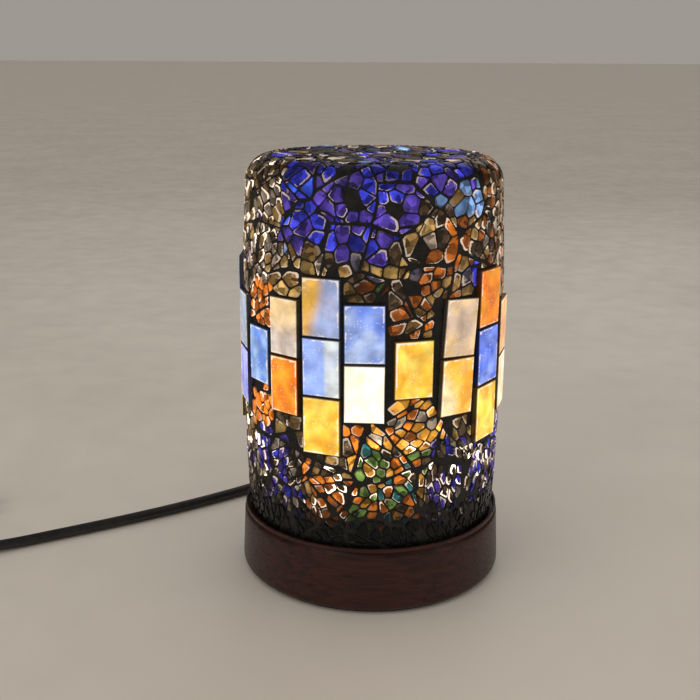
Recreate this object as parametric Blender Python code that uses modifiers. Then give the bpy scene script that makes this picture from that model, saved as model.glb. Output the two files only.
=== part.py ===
"""Mosaic glass table lamp: turned wooden base, mosaic glass shade, small screw bulb and cord set.

Metres, +Z up. The origin is at the middle of the base's underside, the front faces -Y and the
cord leaves at the back, towards +Y.
"""

from math import atan2, cos, pi, radians, sin

import bmesh
import bpy
from mathutils import Matrix, Vector

MM = 0.001
GAP = 0.3 * MM

# Overall
LAMP_HEIGHT = 200.0 * MM
TURN_STEPS = 40

# Wooden base
RIM_TOP_Z = 31.4 * MM
RIM_TOP_R = 62.0 * MM
RIM_INNER_R = 60.8 * MM
BASE_FOOT_R = 63.6 * MM
BASE_BOTTOM_Z = 1.5 * MM
SEAT_Z = 29.0 * MM
CAVITY_R = 48.0 * MM
CAVITY_TOP_Z = 18.0 * MM
REBATE_R = 54.0 * MM
REBATE_TOP_Z = 4.0 * MM
FELT_R = 60.5 * MM
FELT_THICK = 1.2 * MM
COVER_R = 53.5 * MM
COVER_THICK = 0.8 * MM
COVER_SCREW_R = 51.0 * MM
COVER_SCREW_COUNT = 3
PILOT_R = 1.4 * MM
CLAMP_Y = 41.0 * MM
CLAMP_SCREW_X = 8.0 * MM

# Threaded tube that joins the lamp holder to the base
NIPPLE_R = 4.9 * MM
NIPPLE_BORE_R = 3.4 * MM
NIPPLE_HOLE_R = 5.2 * MM
NIPPLE_BOTTOM_Z = 12.6 * MM
NIPPLE_TOP_Z = 32.0 * MM

# Lamp holder and bulb
HOLDER_R = 13.2 * MM
HOLDER_BORE_R = 10.0 * MM
HOLDER_FLOOR_Z = 32.2 * MM
HOLDER_TOP_Z = 57.0 * MM
PLATE_Z = 32.6 * MM
PLATE_THICK = 1.4 * MM
TERMINAL_Y = 6.0 * MM
SHELL_BORE_R = 8.9 * MM
SHELL_R = 9.5 * MM
CAP_CREST_R = 8.45 * MM
CAP_ROOT_R = 7.9 * MM
CAP_BORE_R = 7.2 * MM
THREAD_PITCH = 2.82 * MM
CAP_TOP_Z = 57.4 * MM
CAP_RIDGES = 5
BULB_R = 17.5 * MM
BULB_CENTRE_Z = 82.0 * MM
BULB_WALL = 0.7 * MM
BULB_NECK_R = 6.9 * MM
BULB_NECK_Z = 46.4 * MM
BULB_TIP_Z = 35.1 * MM

# Shade: outer radius of the glass pieces, from the bottom edge up to the shoulder
SHADE_BOTTOM_Z = SEAT_Z + GAP
SHADE_RADII = [
    (29.3 * MM, 59.6 * MM),
    (45.0 * MM, 60.6 * MM),
    (75.0 * MM, 61.4 * MM),
    (150.0 * MM, 61.3 * MM),
    (175.0 * MM, 60.0 * MM),
    (188.0 * MM, 59.4 * MM),
]
SHOULDER_R = 12.0 * MM
SHOULDER_START_Z = LAMP_HEIGHT - SHOULDER_R
CHIP_THICK = 2.0 * MM
GROUT_THICK = 0.5 * MM
GLASS_THICK = 2.8 * MM
BAND_BOTTOM_Z = 74.6 * MM
BAND_TOP_Z = 154.4 * MM

# Large tiles: angle round the shade from the front, width, bottom edge, how many in the column
TILE_HEIGHT = 25.4 * MM
TILE_PITCH = 26.4 * MM
TILE_THICK = 3.0 * MM
TILE_BACK_R = 59.6 * MM
TILE_BEVEL = 0.5 * MM
COLUMNS = [
    (-72.5, 15.6, 87.0, 2),
    (-54.3, 15.6, 101.2, 1),
    (-38.2, 15.6, 90.7, 2),
    (-20.5, 17.2, 75.0, 3),
    (-2.9, 17.4, 90.9, 2),
    (16.7, 17.2, 101.4, 1),
    (36.9, 17.6, 91.2, 2),
    (56.3, 17.4, 75.2, 3),
    (75.3, 17.2, 84.8, 2),
    (93.2, 16.6, 101.2, 1),
    (111.0, 16.6, 90.8, 2),
    (128.8, 16.6, 75.1, 3),
    (146.6, 16.6, 91.0, 2),
    (164.4, 16.6, 101.3, 1),
    (182.1, 16.6, 90.8, 2),
    (199.9, 16.6, 75.0, 3),
    (217.7, 16.6, 90.9, 2),
    (235.5, 16.6, 101.1, 1),
    (253.3, 16.6, 90.7, 2),
    (270.6, 15.6, 75.1, 3),
]

# Cord set
CORD_R = 2.7 * MM
CORD_HOLE_R = 4.3 * MM
CORD_EXIT_Z = 11.5 * MM
LAMP_ROUTE = [
    (0.0, 34.0, 11.5),
    (0.0, 50.0, 11.5),
    (0.0, 66.0, 11.5),
    (0.0, 82.0, 11.5),
    (-1.8, 91.2, 11.1),
    (-7.0, 99.0, 10.0),
    (-14.8, 104.2, 8.4),
    (-24.0, 106.0, 6.3),
    (-33.2, 104.2, 4.4),
    (-41.5, 99.0, 3.2),
    (-56.0, 84.2, 2.8),
    (-72.0, 69.6, 2.8),
    (-100.0, 47.8, 2.8),
    (-131.0, 27.0, 2.8),
    (-160.0, 9.6, 2.8),
    (-187.0, -6.4, 3.2),
    (-201.4, -14.9, 5.0),
]
COIL_ROUTE = [
    (-250.6, -43.9, 5.0),
    (-264.0, -51.9, 3.6),
    (-278.9, -60.4, 2.8),
    (-288.9, -64.6, 2.8),
    (-299.3, -66.2, 2.8),
    (-311.7, -64.2, 2.8),
    (-322.8, -58.6, 2.8),
    (-331.7, -49.7, 2.8),
    (-337.3, -38.6, 2.8),
    (-339.2, -28.0, 2.8),
    (-339.3, -22.3, 2.8),
]
PLUG_ROUTE = [
    (-276.8, 41.0, 8.2),
    (-270.0, 41.0, 8.2),
    (-264.0, 41.0, 8.3),
    (-258.3, 41.0, 8.3),
]
COIL_CENTRE = (-299.0 * MM, 0.7 * MM)
COIL_INNER_R = 20.6 * MM
COIL_OUTER_R = 43.4 * MM
COIL_HEIGHT = 11.3 * MM

# In-line switch, built along X and turned onto the cord's line
SWITCH_PLACE = (-226.0 * MM, -29.4 * MM, 0.0)
SWITCH_ANGLE = atan2(COIL_ROUTE[0][1] - LAMP_ROUTE[-1][1], COIL_ROUTE[0][0] - LAMP_ROUTE[-1][0])
SWITCH_LENGTH = 56.0 * MM
SWITCH_WIDTH = 22.0 * MM
SWITCH_SPLIT_Z = 5.6 * MM
SWITCH_TOP_Z = 12.6 * MM
SWITCH_SCREW_X = 13.5 * MM
ROCKER_LENGTH = 17.0 * MM
ROCKER_WIDTH = 9.0 * MM
ROCKER_AXIS_Z = 10.6 * MM
ROCKER_TILT = 9.0

# Plug
PLUG_BACK_X = -258.0 * MM
PLUG_Y = 41.0 * MM
PLUG_Z = 8.3 * MM
PLUG_NECK = 15.0 * MM
PLUG_HEAD = 19.0 * MM
PIN_LENGTH = 17.5 * MM
PIN_SPACING = 12.7 * MM

for old_object in list(bpy.data.objects):
    bpy.data.objects.remove(old_object, do_unlink=True)

parts = bpy.data.collections.new("mosaic_lamp")
cutters = bpy.data.collections.new("cutters")
bpy.context.scene.collection.children.link(parts)
bpy.context.scene.collection.children.link(cutters)


# ---------------------------------------------------------------- materials

def material(name, colour, roughness, metallic=0.0, transmission=0.0):
    mat = bpy.data.materials.get(name)
    if mat is None:
        mat = bpy.data.materials.new(name)
        mat.use_nodes = True
        shader = mat.node_tree.nodes["Principled BSDF"]
        shader.inputs["Base Color"].default_value = (*colour, 1.0)
        shader.inputs["Roughness"].default_value = roughness
        shader.inputs["Metallic"].default_value = metallic
        shader.inputs["Transmission Weight"].default_value = transmission
        mat.diffuse_color = (*colour, 1.0)
    return mat


WOOD = material("stained_wood", (0.085, 0.028, 0.022), 0.38)
FELT = material("felt", (0.03, 0.03, 0.032), 0.95)
FIBRE = material("cover_board", (0.05, 0.045, 0.04), 0.8)
STEEL = material("zinc_steel", (0.62, 0.62, 0.63), 0.35, 1.0)
BRASS = material("brass", (0.78, 0.6, 0.28), 0.3, 1.0)
PHENOLIC = material("phenolic", (0.03, 0.028, 0.026), 0.4)
PVC = material("black_pvc", (0.018, 0.018, 0.019), 0.45)
CLEAR_GLASS = material("clear_glass", (0.95, 0.95, 0.93), 0.05, 0.0, 0.9)
BLACK_GLASS = material("black_glass", (0.02, 0.02, 0.02), 0.2)
GROUT = material("grout", (0.018, 0.016, 0.015), 0.8)
CRACKLE = material("crackle_glass", (0.25, 0.25, 0.45), 0.15, 0.0, 0.6)
TILE_GLASS = material("tile_glass", (0.8, 0.6, 0.3), 0.12, 0.0, 0.5)


# ---------------------------------------------------------------- helpers

def place(mesh, name, mat, collection=parts):
    obj = bpy.data.objects.new(name, mesh)
    collection.objects.link(obj)
    if mat is not None:
        mesh.materials.append(mat)
    if collection is cutters:
        obj.hide_render = True
        obj.display_type = "WIRE"
    return obj


def mesh_from(bm, name):
    mesh = bpy.data.meshes.new(name)
    bm.to_mesh(mesh)
    bm.free()
    return mesh


def arc(centre_r, centre_z, radius, start, end, count):
    """Points on a round, from start to end in degrees, both ends included."""
    points = []
    for i in range(count + 1):
        angle = radians(start + (end - start) * i / count)
        points.append((centre_r + radius * cos(angle), centre_z + radius * sin(angle)))
    return points


def turned(name, profile, mat, closed=True, steps=TURN_STEPS, collection=parts):
    """A turned solid: the (radius, height) profile runs down its outer side, then back up inside."""
    bm = bmesh.new()
    verts = [bm.verts.new((r, 0.0, z)) for r, z in profile]
    for first, second in zip(verts, verts[1:]):
        bm.edges.new((first, second))
    if closed:
        bm.edges.new((verts[-1], verts[0]))
    obj = place(mesh_from(bm, name), name, mat, collection)
    screw = obj.modifiers.new("turn", "SCREW")
    screw.axis = "Z"
    screw.steps = steps
    screw.render_steps = steps
    screw.use_merge_vertices = True
    screw.merge_threshold = 0.00001
    screw.use_smooth_shade = True
    return obj


def add_box(bm, centre, size, matrix=Matrix.Identity(4)):
    local = Matrix.Translation(Vector(centre)) @ Matrix.Diagonal((*size, 1.0))
    bmesh.ops.create_cube(bm, size=1.0, matrix=matrix @ local)


def add_cylinder(bm, base, radius, height, segments=20, top_radius=None, matrix=Matrix.Identity(4)):
    """An upright cylinder or cone standing on its base point."""
    lift = Matrix.Translation(Vector(base) + Vector((0.0, 0.0, height / 2)))
    end_radius = radius if top_radius is None else top_radius
    bmesh.ops.create_cone(
        bm, cap_ends=True, segments=segments, radius1=radius, radius2=end_radius,
        depth=height, matrix=matrix @ lift)


def box(name, centre, size, mat, bevel=0.0, collection=parts):
    bm = bmesh.new()
    add_box(bm, centre, size)
    obj = place(mesh_from(bm, name), name, mat, collection)
    if bevel > 0.0:
        add_bevel(obj, bevel)
    return obj


def add_bevel(obj, width, segments=1, angle=40.0):
    bevel = obj.modifiers.new("edges", "BEVEL")
    bevel.width = width
    bevel.segments = segments
    bevel.limit_method = "ANGLE"
    bevel.angle_limit = radians(angle)
    return bevel


def cut(obj, cutter):
    boolean = obj.modifiers.new("cut_" + cutter.name, "BOOLEAN")
    boolean.operation = "DIFFERENCE"
    boolean.solver = "EXACT"
    boolean.object = cutter


def join(obj, other):
    boolean = obj.modifiers.new("join_" + other.name, "BOOLEAN")
    boolean.operation = "UNION"
    boolean.solver = "EXACT"
    boolean.object = other


def smooth_route(route, step):
    """Evenly spaced points on a smooth curve through the route's points (centripetal spline)."""
    points = [Vector(p) * MM for p in route]
    first = points[0] * 2 - points[1]
    last = points[-1] * 2 - points[-2]
    chain = [first, *points, last]
    fine = []
    for i in range(1, len(chain) - 2):
        p0, p1, p2, p3 = chain[i - 1:i + 3]
        t0 = 0.0
        t1 = t0 + (p1 - p0).length ** 0.5
        t2 = t1 + (p2 - p1).length ** 0.5
        t3 = t2 + (p3 - p2).length ** 0.5
        for k in range(16):
            t = t1 + (t2 - t1) * k / 16
            a1 = p0 * ((t1 - t) / (t1 - t0)) + p1 * ((t - t0) / (t1 - t0))
            a2 = p1 * ((t2 - t) / (t2 - t1)) + p2 * ((t - t1) / (t2 - t1))
            a3 = p2 * ((t3 - t) / (t3 - t2)) + p3 * ((t - t2) / (t3 - t2))
            b1 = a1 * ((t2 - t) / (t2 - t0)) + a2 * ((t - t0) / (t2 - t0))
            b2 = a2 * ((t3 - t) / (t3 - t1)) + a3 * ((t - t1) / (t3 - t1))
            fine.append(b1 * ((t2 - t) / (t2 - t1)) + b2 * ((t - t1) / (t2 - t1)))
    fine.append(points[-1])
    lengths = [0.0]
    for a, b in zip(fine, fine[1:]):
        lengths.append(lengths[-1] + (b - a).length)
    count = max(2, round(lengths[-1] / step))
    result = []
    j = 0
    for i in range(count + 1):
        wanted = lengths[-1] * i / count
        while j < len(fine) - 2 and lengths[j + 1] < wanted:
            j += 1
        share = (wanted - lengths[j]) / (lengths[j + 1] - lengths[j])
        result.append(fine[j].lerp(fine[j + 1], share))
    return result


def tube(name, points, radius, mat, resolution=2):
    curve = bpy.data.curves.new(name, "CURVE")
    curve.dimensions = "3D"
    curve.bevel_depth = radius
    curve.bevel_resolution = resolution
    curve.use_fill_caps = True
    spline = curve.splines.new("POLY")
    spline.points.add(len(points) - 1)
    for point, co in zip(spline.points, points):
        point.co = (*co, 1.0)
    obj = bpy.data.objects.new(name, curve)
    parts.objects.link(obj)
    curve.materials.append(mat)
    return obj


def empty(name, location, angle=0.0):
    obj = bpy.data.objects.new(name, None)
    obj.location = location
    obj.rotation_euler = (0.0, 0.0, angle)
    obj.empty_display_size = 0.01
    parts.objects.link(obj)
    return obj


# ---------------------------------------------------------------- base

def wooden_base():
    profile = [
        (NIPPLE_HOLE_R, SEAT_Z),
        (RIM_INNER_R, SEAT_Z),
        (RIM_INNER_R, RIM_TOP_Z - 0.4 * MM),
        (RIM_INNER_R + 0.4 * MM, RIM_TOP_Z),
        (RIM_TOP_R - 0.5 * MM, RIM_TOP_Z),
        (RIM_TOP_R, RIM_TOP_Z - 0.5 * MM),
        (RIM_TOP_R, RIM_TOP_Z - 1.8 * MM),
        (RIM_TOP_R - 0.7 * MM, RIM_TOP_Z - 2.3 * MM),
        (RIM_TOP_R + 0.2 * MM, RIM_TOP_Z - 3.2 * MM),
        (RIM_TOP_R + 0.8 * MM, 18.0 * MM),
        (BASE_FOOT_R, 4.5 * MM),
        (BASE_FOOT_R - 0.4 * MM, 2.4 * MM),
        (BASE_FOOT_R - 1.4 * MM, BASE_BOTTOM_Z),
        (REBATE_R, BASE_BOTTOM_Z),
        (REBATE_R, REBATE_TOP_Z),
        (CAVITY_R, REBATE_TOP_Z),
        (CAVITY_R, CAVITY_TOP_Z),
        (NIPPLE_HOLE_R, CAVITY_TOP_Z),
    ]
    base = turned("wooden_base", profile, WOOD, steps=48)
    cut(base, base_hole_cutters())


def base_hole_cutters():
    """The cord hole through the back wall and the pilot holes of the screws."""
    bm = bmesh.new()
    sideways = Matrix.Translation((0.0, 46.0 * MM, CORD_EXIT_Z)) @ Matrix.Rotation(-pi / 2, 4, "X")
    add_cylinder(bm, (0.0, 0.0, 0.0), CORD_HOLE_R, 24.0 * MM, 24, matrix=sideways)
    for x in (-CLAMP_SCREW_X, CLAMP_SCREW_X):
        add_cylinder(bm, (x, CLAMP_Y, 12.0 * MM), PILOT_R, 12.6 * MM, 12)
    for x, y in cover_screw_places():
        add_cylinder(bm, (x, y, 3.0 * MM), PILOT_R, 8.0 * MM, 12)
    return place(mesh_from(bm, "base_holes"), "base_holes", None, cutters)


def cover_screw_places():
    places = []
    for i in range(COVER_SCREW_COUNT):
        angle = radians(30.0 + 360.0 * i / COVER_SCREW_COUNT)
        places.append((COVER_SCREW_R * cos(angle), COVER_SCREW_R * sin(angle)))
    return places


def felt_pad():
    bm = bmesh.new()
    add_cylinder(bm, (0.0, 0.0, 0.0), FELT_R, FELT_THICK, 64)
    place(mesh_from(bm, "felt_pad"), "felt_pad", FELT)


def base_cover():
    bm = bmesh.new()
    add_cylinder(bm, (0.0, 0.0, REBATE_TOP_Z - GAP - COVER_THICK), COVER_R, COVER_THICK, 48)
    cover = place(mesh_from(bm, "base_cover"), "base_cover", FIBRE)
    holes = bmesh.new()
    for x, y in cover_screw_places():
        add_cylinder(holes, (x, y, 2.0 * MM), PILOT_R, 3.0 * MM, 12)
    cut(cover, place(mesh_from(holes, "cover_holes"), "cover_holes", None, cutters))


def screw(name, location, head_r, head_thick, shank_r, length, mat=STEEL):
    """A screw that points up, its head's face at the location, turned as one closed body."""
    solid = turned(name, [
        (0.0, length),
        (shank_r, length - shank_r * 1.5),
        (shank_r, head_thick),
        (head_r, head_thick),
        (head_r, head_thick * 0.4),
        (head_r * 0.8, 0.0),
        (0.0, 0.0),
    ], mat, closed=False, steps=12)
    solid.location = location
    return solid


def cover_screws():
    for i, (x, y) in enumerate(cover_screw_places()):
        screw(f"cover_screw_{i + 1}", (x, y, 1.6 * MM), 2.2 * MM, 1.0 * MM, 1.1 * MM, 8.8 * MM)


def cord_clamp():
    clamp = box(
        "cord_clamp", (0.0, CLAMP_Y, 12.05 * MM), (22.0 * MM, 7.0 * MM, 11.3 * MM), PHENOLIC, 0.6 * MM)
    bm = bmesh.new()
    sideways = Matrix.Translation((0.0, CLAMP_Y - 6.0 * MM, CORD_EXIT_Z)) @ Matrix.Rotation(-pi / 2, 4, "X")
    add_cylinder(bm, (0.0, 0.0, 0.0), CORD_R + GAP, 12.0 * MM, 20, matrix=sideways)
    for x in (-CLAMP_SCREW_X, CLAMP_SCREW_X):
        add_cylinder(bm, (x, CLAMP_Y, 2.0 * MM), PILOT_R, 20.0 * MM, 12)
    cut(clamp, place(mesh_from(bm, "clamp_holes"), "clamp_holes", None, cutters))
    for i, x in enumerate((-CLAMP_SCREW_X, CLAMP_SCREW_X)):
        screw(f"clamp_screw_{i + 1}", (x, CLAMP_Y, 4.8 * MM), 2.3 * MM, 1.3 * MM, 1.1 * MM, 19.2 * MM)


def cord_grommet():
    """A sleeve in the base's hole, a flange outside it and a tapered boot round the cord."""
    bore = CORD_R + GAP
    profile = [
        (bore, 32.0 * MM),
        (4.1 * MM, 32.0 * MM),
        (4.5 * MM, 29.0 * MM),
        (4.2 * MM, 28.4 * MM),
        (4.8 * MM, 25.6 * MM),
        (4.5 * MM, 25.0 * MM),
        (5.1 * MM, 22.2 * MM),
        (4.8 * MM, 21.6 * MM),
        (5.5 * MM, 18.6 * MM),
        (7.2 * MM, 18.0 * MM),
        (7.2 * MM, 15.2 * MM),
        (4.0 * MM, 15.2 * MM),
        (4.0 * MM, 0.0),
        (bore, 0.0),
    ]
    boot = turned("cord_grommet", profile, PVC, steps=20)
    boot.location = (0.0, 50.0 * MM, CORD_EXIT_Z)
    boot.rotation_euler = (-pi / 2, 0.0, 0.0)


def nipple_set():
    turned("threaded_nipple", [
        (NIPPLE_BORE_R, NIPPLE_TOP_Z),
        (NIPPLE_R - 0.4 * MM, NIPPLE_TOP_Z),
        (NIPPLE_R, NIPPLE_TOP_Z - 0.6 * MM),
        (NIPPLE_R, NIPPLE_BOTTOM_Z + 0.6 * MM),
        (NIPPLE_R - 0.4 * MM, NIPPLE_BOTTOM_Z),
        (NIPPLE_BORE_R, NIPPLE_BOTTOM_Z),
    ], STEEL, steps=24)
    turned("nipple_washer", [
        (NIPPLE_HOLE_R, CAVITY_TOP_Z - GAP),
        (9.5 * MM, CAVITY_TOP_Z - GAP),
        (9.5 * MM, CAVITY_TOP_Z - GAP - 1.0 * MM),
        (NIPPLE_HOLE_R, CAVITY_TOP_Z - GAP - 1.0 * MM),
    ], STEEL, steps=32)
    bm = bmesh.new()
    add_cylinder(bm, (0.0, 0.0, 13.4 * MM), 8.1 * MM, 3.0 * MM, 6)
    nut = place(mesh_from(bm, "nipple_nut"), "nipple_nut", STEEL)
    hole = bmesh.new()
    add_cylinder(hole, (0.0, 0.0, 12.0 * MM), NIPPLE_HOLE_R, 6.0 * MM, 24)
    cut(nut, place(mesh_from(hole, "nut_hole"), "nut_hole", None, cutters))


# ---------------------------------------------------------------- lamp holder

def lamp_holder():
    turned("holder_body", [
        (HOLDER_BORE_R, HOLDER_TOP_Z),
        (HOLDER_R - 1.4 * MM, HOLDER_TOP_Z),
        (HOLDER_R - 0.6 * MM, HOLDER_TOP_Z - 0.8 * MM),
        (HOLDER_R - 0.6 * MM, 40.0 * MM),
        (HOLDER_R, 39.2 * MM),
        (HOLDER_R, 33.0 * MM),
        (HOLDER_R + 3.0 * MM, 32.0 * MM),
        (HOLDER_R + 3.0 * MM, SHADE_BOTTOM_Z),
        (NIPPLE_HOLE_R, SHADE_BOTTOM_Z),
        (NIPPLE_HOLE_R, HOLDER_FLOOR_Z),
        (HOLDER_BORE_R, HOLDER_FLOOR_Z),
    ], PHENOLIC, steps=28)
    plate_top = PLATE_Z + PLATE_THICK
    bm = bmesh.new()
    add_cylinder(bm, (0.0, 0.0, PLATE_Z), HOLDER_BORE_R - GAP, PLATE_THICK, 32)
    plate = place(mesh_from(bm, "contact_plate"), "contact_plate", PHENOLIC)
    holes = bmesh.new()
    for y in (-TERMINAL_Y, TERMINAL_Y):
        add_cylinder(holes, (0.0, y, PLATE_Z - MM), 1.2 * MM, 4.0 * MM, 12)
    cut(plate, place(mesh_from(holes, "plate_holes"), "plate_holes", None, cutters))
    head_z = plate_top + GAP + MM
    for i, y in enumerate((-TERMINAL_Y, TERMINAL_Y)):
        place_of_head = (0.0, y, head_z)
        terminal = screw(f"terminal_screw_{i + 1}", place_of_head, 1.6 * MM, MM, 0.9 * MM, 2.6 * MM, BRASS)
        terminal.rotation_euler = (pi, 0.0, 0.0)
    box("centre_contact", (0.0, 0.0, plate_top + GAP + 0.2 * MM), (4.4 * MM, 7.6 * MM, 0.4 * MM), BRASS)
    turned("screw_shell", [
        (SHELL_BORE_R, 54.0 * MM),
        (SHELL_R, 54.0 * MM),
        (SHELL_R, plate_top + GAP),
        (SHELL_BORE_R, plate_top + GAP),
    ], BRASS, steps=32)


def lead_wires():
    """Two insulated cores, from the cord's end in the cavity up through the threaded tube."""
    for i, side in enumerate((-1.0, 1.0)):
        route = [
            (1.5 * side, 33.4, 11.5),
            (1.5 * side, 26.0, 10.0),
            (1.5 * side, 16.0, 7.0),
            (1.5 * side, 7.0, 5.8),
            (1.5 * side, 1.8, 7.2),
            (1.5 * side, 0.2, 11.0),
            (1.5 * side, 0.0, 15.0),
            (1.5 * side, 0.0, 24.0),
            (1.5 * side, 0.0, 32.2),
        ]
        tube(f"lead_wire_{i + 1}", smooth_route(route, 2.6 * MM), 0.8 * MM, PVC, 1)


# ---------------------------------------------------------------- bulb

def bulb():
    turned("bulb_contact", [
        (0.0, BULB_TIP_Z + 1.5 * MM),
        (2.2 * MM, BULB_TIP_Z + 1.5 * MM),
        (2.4 * MM, BULB_TIP_Z + 0.8 * MM),
        (1.6 * MM, BULB_TIP_Z + 0.2 * MM),
        (0.0, BULB_TIP_Z),
    ], STEEL, closed=False, steps=20)
    turned("bulb_insulator", [
        (0.0, BULB_TIP_Z + 3.6 * MM),
        (6.6 * MM, BULB_TIP_Z + 3.6 * MM),
        (5.6 * MM, BULB_TIP_Z + 2.6 * MM),
        (3.4 * MM, BULB_TIP_Z + 1.8 * MM),
        (0.0, BULB_TIP_Z + 1.8 * MM),
    ], BLACK_GLASS, closed=False, steps=24)
    bulb_cap(BULB_TIP_Z + 3.9 * MM)
    bulb_glass()
    turned("bulb_stem", [
        (0.0, 67.0 * MM),
        (1.6 * MM, 66.0 * MM),
        (1.8 * MM, 56.0 * MM),
        (5.6 * MM, 48.0 * MM),
        (5.6 * MM, BULB_NECK_Z),
        (0.0, BULB_NECK_Z),
    ], CLEAR_GLASS, closed=False, steps=20)
    filament()


def bulb_cap(bottom_z):
    """The screw cap: ridges at the thread's pitch, and a plain skirt above them."""
    outer = [(CAP_ROOT_R - 0.5 * MM, CAP_TOP_Z), (CAP_ROOT_R, CAP_TOP_Z - 0.5 * MM)]
    first_z = bottom_z + 0.9 * MM
    for i in reversed(range(CAP_RIDGES)):
        z = first_z + THREAD_PITCH * i
        outer.append((CAP_CREST_R, z + THREAD_PITCH * 0.5))
        outer.append((CAP_ROOT_R, z))
    outer.append((CAP_BORE_R, bottom_z))
    outer.append((CAP_BORE_R - 0.7 * MM, bottom_z))
    inner = [(CAP_BORE_R, bottom_z + 0.9 * MM), (CAP_BORE_R, CAP_TOP_Z)]
    turned("bulb_cap", outer + inner, BRASS, steps=20)


def bulb_glass():
    """A pear-shaped envelope that is open at its neck."""
    crown = arc(0.0, BULB_CENTRE_Z, BULB_R, 90.0, -30.0, 8)
    neck = [
        (10.2 * MM, 62.0 * MM),
        (7.4 * MM, 58.2 * MM),
        (BULB_NECK_R, 56.6 * MM),
        (BULB_NECK_R, BULB_NECK_Z),
    ]
    inner_neck = [(r - BULB_WALL, z) for r, z in reversed(neck)]
    inner_crown = arc(0.0, BULB_CENTRE_Z, BULB_R - BULB_WALL, -30.0, 90.0, 8)
    profile = crown + neck + inner_neck + inner_crown
    turned("bulb_glass", profile, CLEAR_GLASS, closed=False, steps=24)


def filament():
    """Two support wires and the filament's arch between them, joined as one run."""
    route = [
        (-1.0, 0.0, 67.4), (-2.4, 0.0, 71.0), (-4.6, 0.0, 76.0), (-6.0, 0.0, 80.0), (-4.6, 0.0, 83.0),
        (-2.2, 0.0, 84.6), (0.0, 0.0, 85.0), (2.2, 0.0, 84.6), (4.6, 0.0, 83.0), (6.0, 0.0, 80.0),
        (4.6, 0.0, 76.0), (2.4, 0.0, 71.0), (1.0, 0.0, 67.4),
    ]
    tube("filament", [Vector(p) * MM for p in route], 0.35 * MM, STEEL, 1)


# ---------------------------------------------------------------- shade

def shade_line(offset, bottom_z, top_z):
    """Radius and height down the shade's side, the offset measured in from the pieces' face."""
    points = [(r - offset, z) for z, r in SHADE_RADII if bottom_z < z < top_z]
    points.insert(0, (shade_radius(bottom_z) - offset, bottom_z))
    points.append((shade_radius(top_z) - offset, top_z))
    points.reverse()
    return points


def shade_radius(z):
    for (z0, r0), (z1, r1) in zip(SHADE_RADII, SHADE_RADII[1:]):
        if z <= z1:
            return r0 + (r1 - r0) * (z - z0) / (z1 - z0)
    return SHADE_RADII[-1][1]


def shoulder(offset):
    """The crown's outline: flat top, rounded shoulder."""
    centre_r = SHADE_RADII[-1][1] - SHOULDER_R
    round_points = arc(centre_r, SHOULDER_START_Z, SHOULDER_R - offset, 90.0, 0.0, 4)
    return [(0.0, LAMP_HEIGHT - offset)] + round_points


def cup(name, outer_offset, thickness, mat):
    outer = shoulder(outer_offset) + shade_line(outer_offset, SHADE_BOTTOM_Z, SHOULDER_START_Z)[1:]
    inner_offset = outer_offset + thickness
    inner = shoulder(inner_offset) + shade_line(inner_offset, SHADE_BOTTOM_Z, SHOULDER_START_Z)[1:]
    return turned(name, outer + inner[::-1], mat, closed=False)


def ring(name, bottom_z, top_z, mat=CRACKLE):
    """A closed ring of mosaic between two heights."""
    outer = shade_line(0.0, bottom_z, top_z)
    inner = shade_line(CHIP_THICK, bottom_z, top_z)
    return turned(name, outer + inner[::-1], mat)


def glass_shade():
    grout_offset = CHIP_THICK + GAP
    glass_offset = grout_offset + GROUT_THICK + GAP
    cup("grout_coat", grout_offset, GROUT_THICK, GROUT)
    cup("glass_shade", glass_offset, GLASS_THICK, CLEAR_GLASS)


def crackle_mosaic():
    split_z = SHOULDER_START_Z - GAP
    ring("mosaic_upper", BAND_TOP_Z + GAP, split_z - GAP)
    ring("mosaic_lower", SHADE_BOTTOM_Z, BAND_BOTTOM_Z - GAP)
    crown = shoulder(0.0) + shoulder(CHIP_THICK)[::-1]
    turned("mosaic_crown", crown, CRACKLE, closed=False)


def slab(bm, angle, width, bottom_z, height, thickness):
    """A flat piece of glass, tangent to the shade at an angle from the front."""
    facing = Matrix.Rotation(radians(angle), 4, "Z")
    add_box(
        bm, (0.0, -(TILE_BACK_R + thickness / 2), bottom_z + height / 2), (width, thickness, height), facing)


def tile_band():
    """The ring with the large tiles: each tile stands proud of the crackle glass round it."""
    band = ring("mosaic_band", BAND_BOTTOM_Z, BAND_TOP_Z, TILE_GLASS)
    bm = bmesh.new()
    for angle, width, bottom, tile_count in COLUMNS:
        for i in range(tile_count):
            slab(bm, angle, width * MM, bottom * MM + TILE_PITCH * i, TILE_HEIGHT, TILE_THICK)
    tiles = place(mesh_from(bm, "tiles"), "tiles", None, cutters)
    join(band, tiles)


# ---------------------------------------------------------------- cord set

def cords():
    step = CORD_R * 2 * 2.2
    tube("cord_lamp_run", smooth_route(LAMP_ROUTE, step), CORD_R, PVC)
    tube("cord_coil_run", smooth_route(COIL_ROUTE, step), CORD_R, PVC)
    tube("cord_plug_run", smooth_route(PLUG_ROUTE, step / 2), CORD_R, PVC)
    coil = turned("cord_coil", [
        (COIL_INNER_R, COIL_HEIGHT - 2.0 * MM),
        (COIL_INNER_R + 2.0 * MM, COIL_HEIGHT),
        (COIL_OUTER_R - 2.0 * MM, COIL_HEIGHT),
        (COIL_OUTER_R, COIL_HEIGHT - 2.0 * MM),
        (COIL_OUTER_R, 2.0 * MM),
        (COIL_OUTER_R - 2.0 * MM, GAP / 3),
        (COIL_INNER_R + 2.0 * MM, GAP / 3),
        (COIL_INNER_R, 2.0 * MM),
    ], PVC, steps=36)
    coil.location = (*COIL_CENTRE, 0.0)


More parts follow.
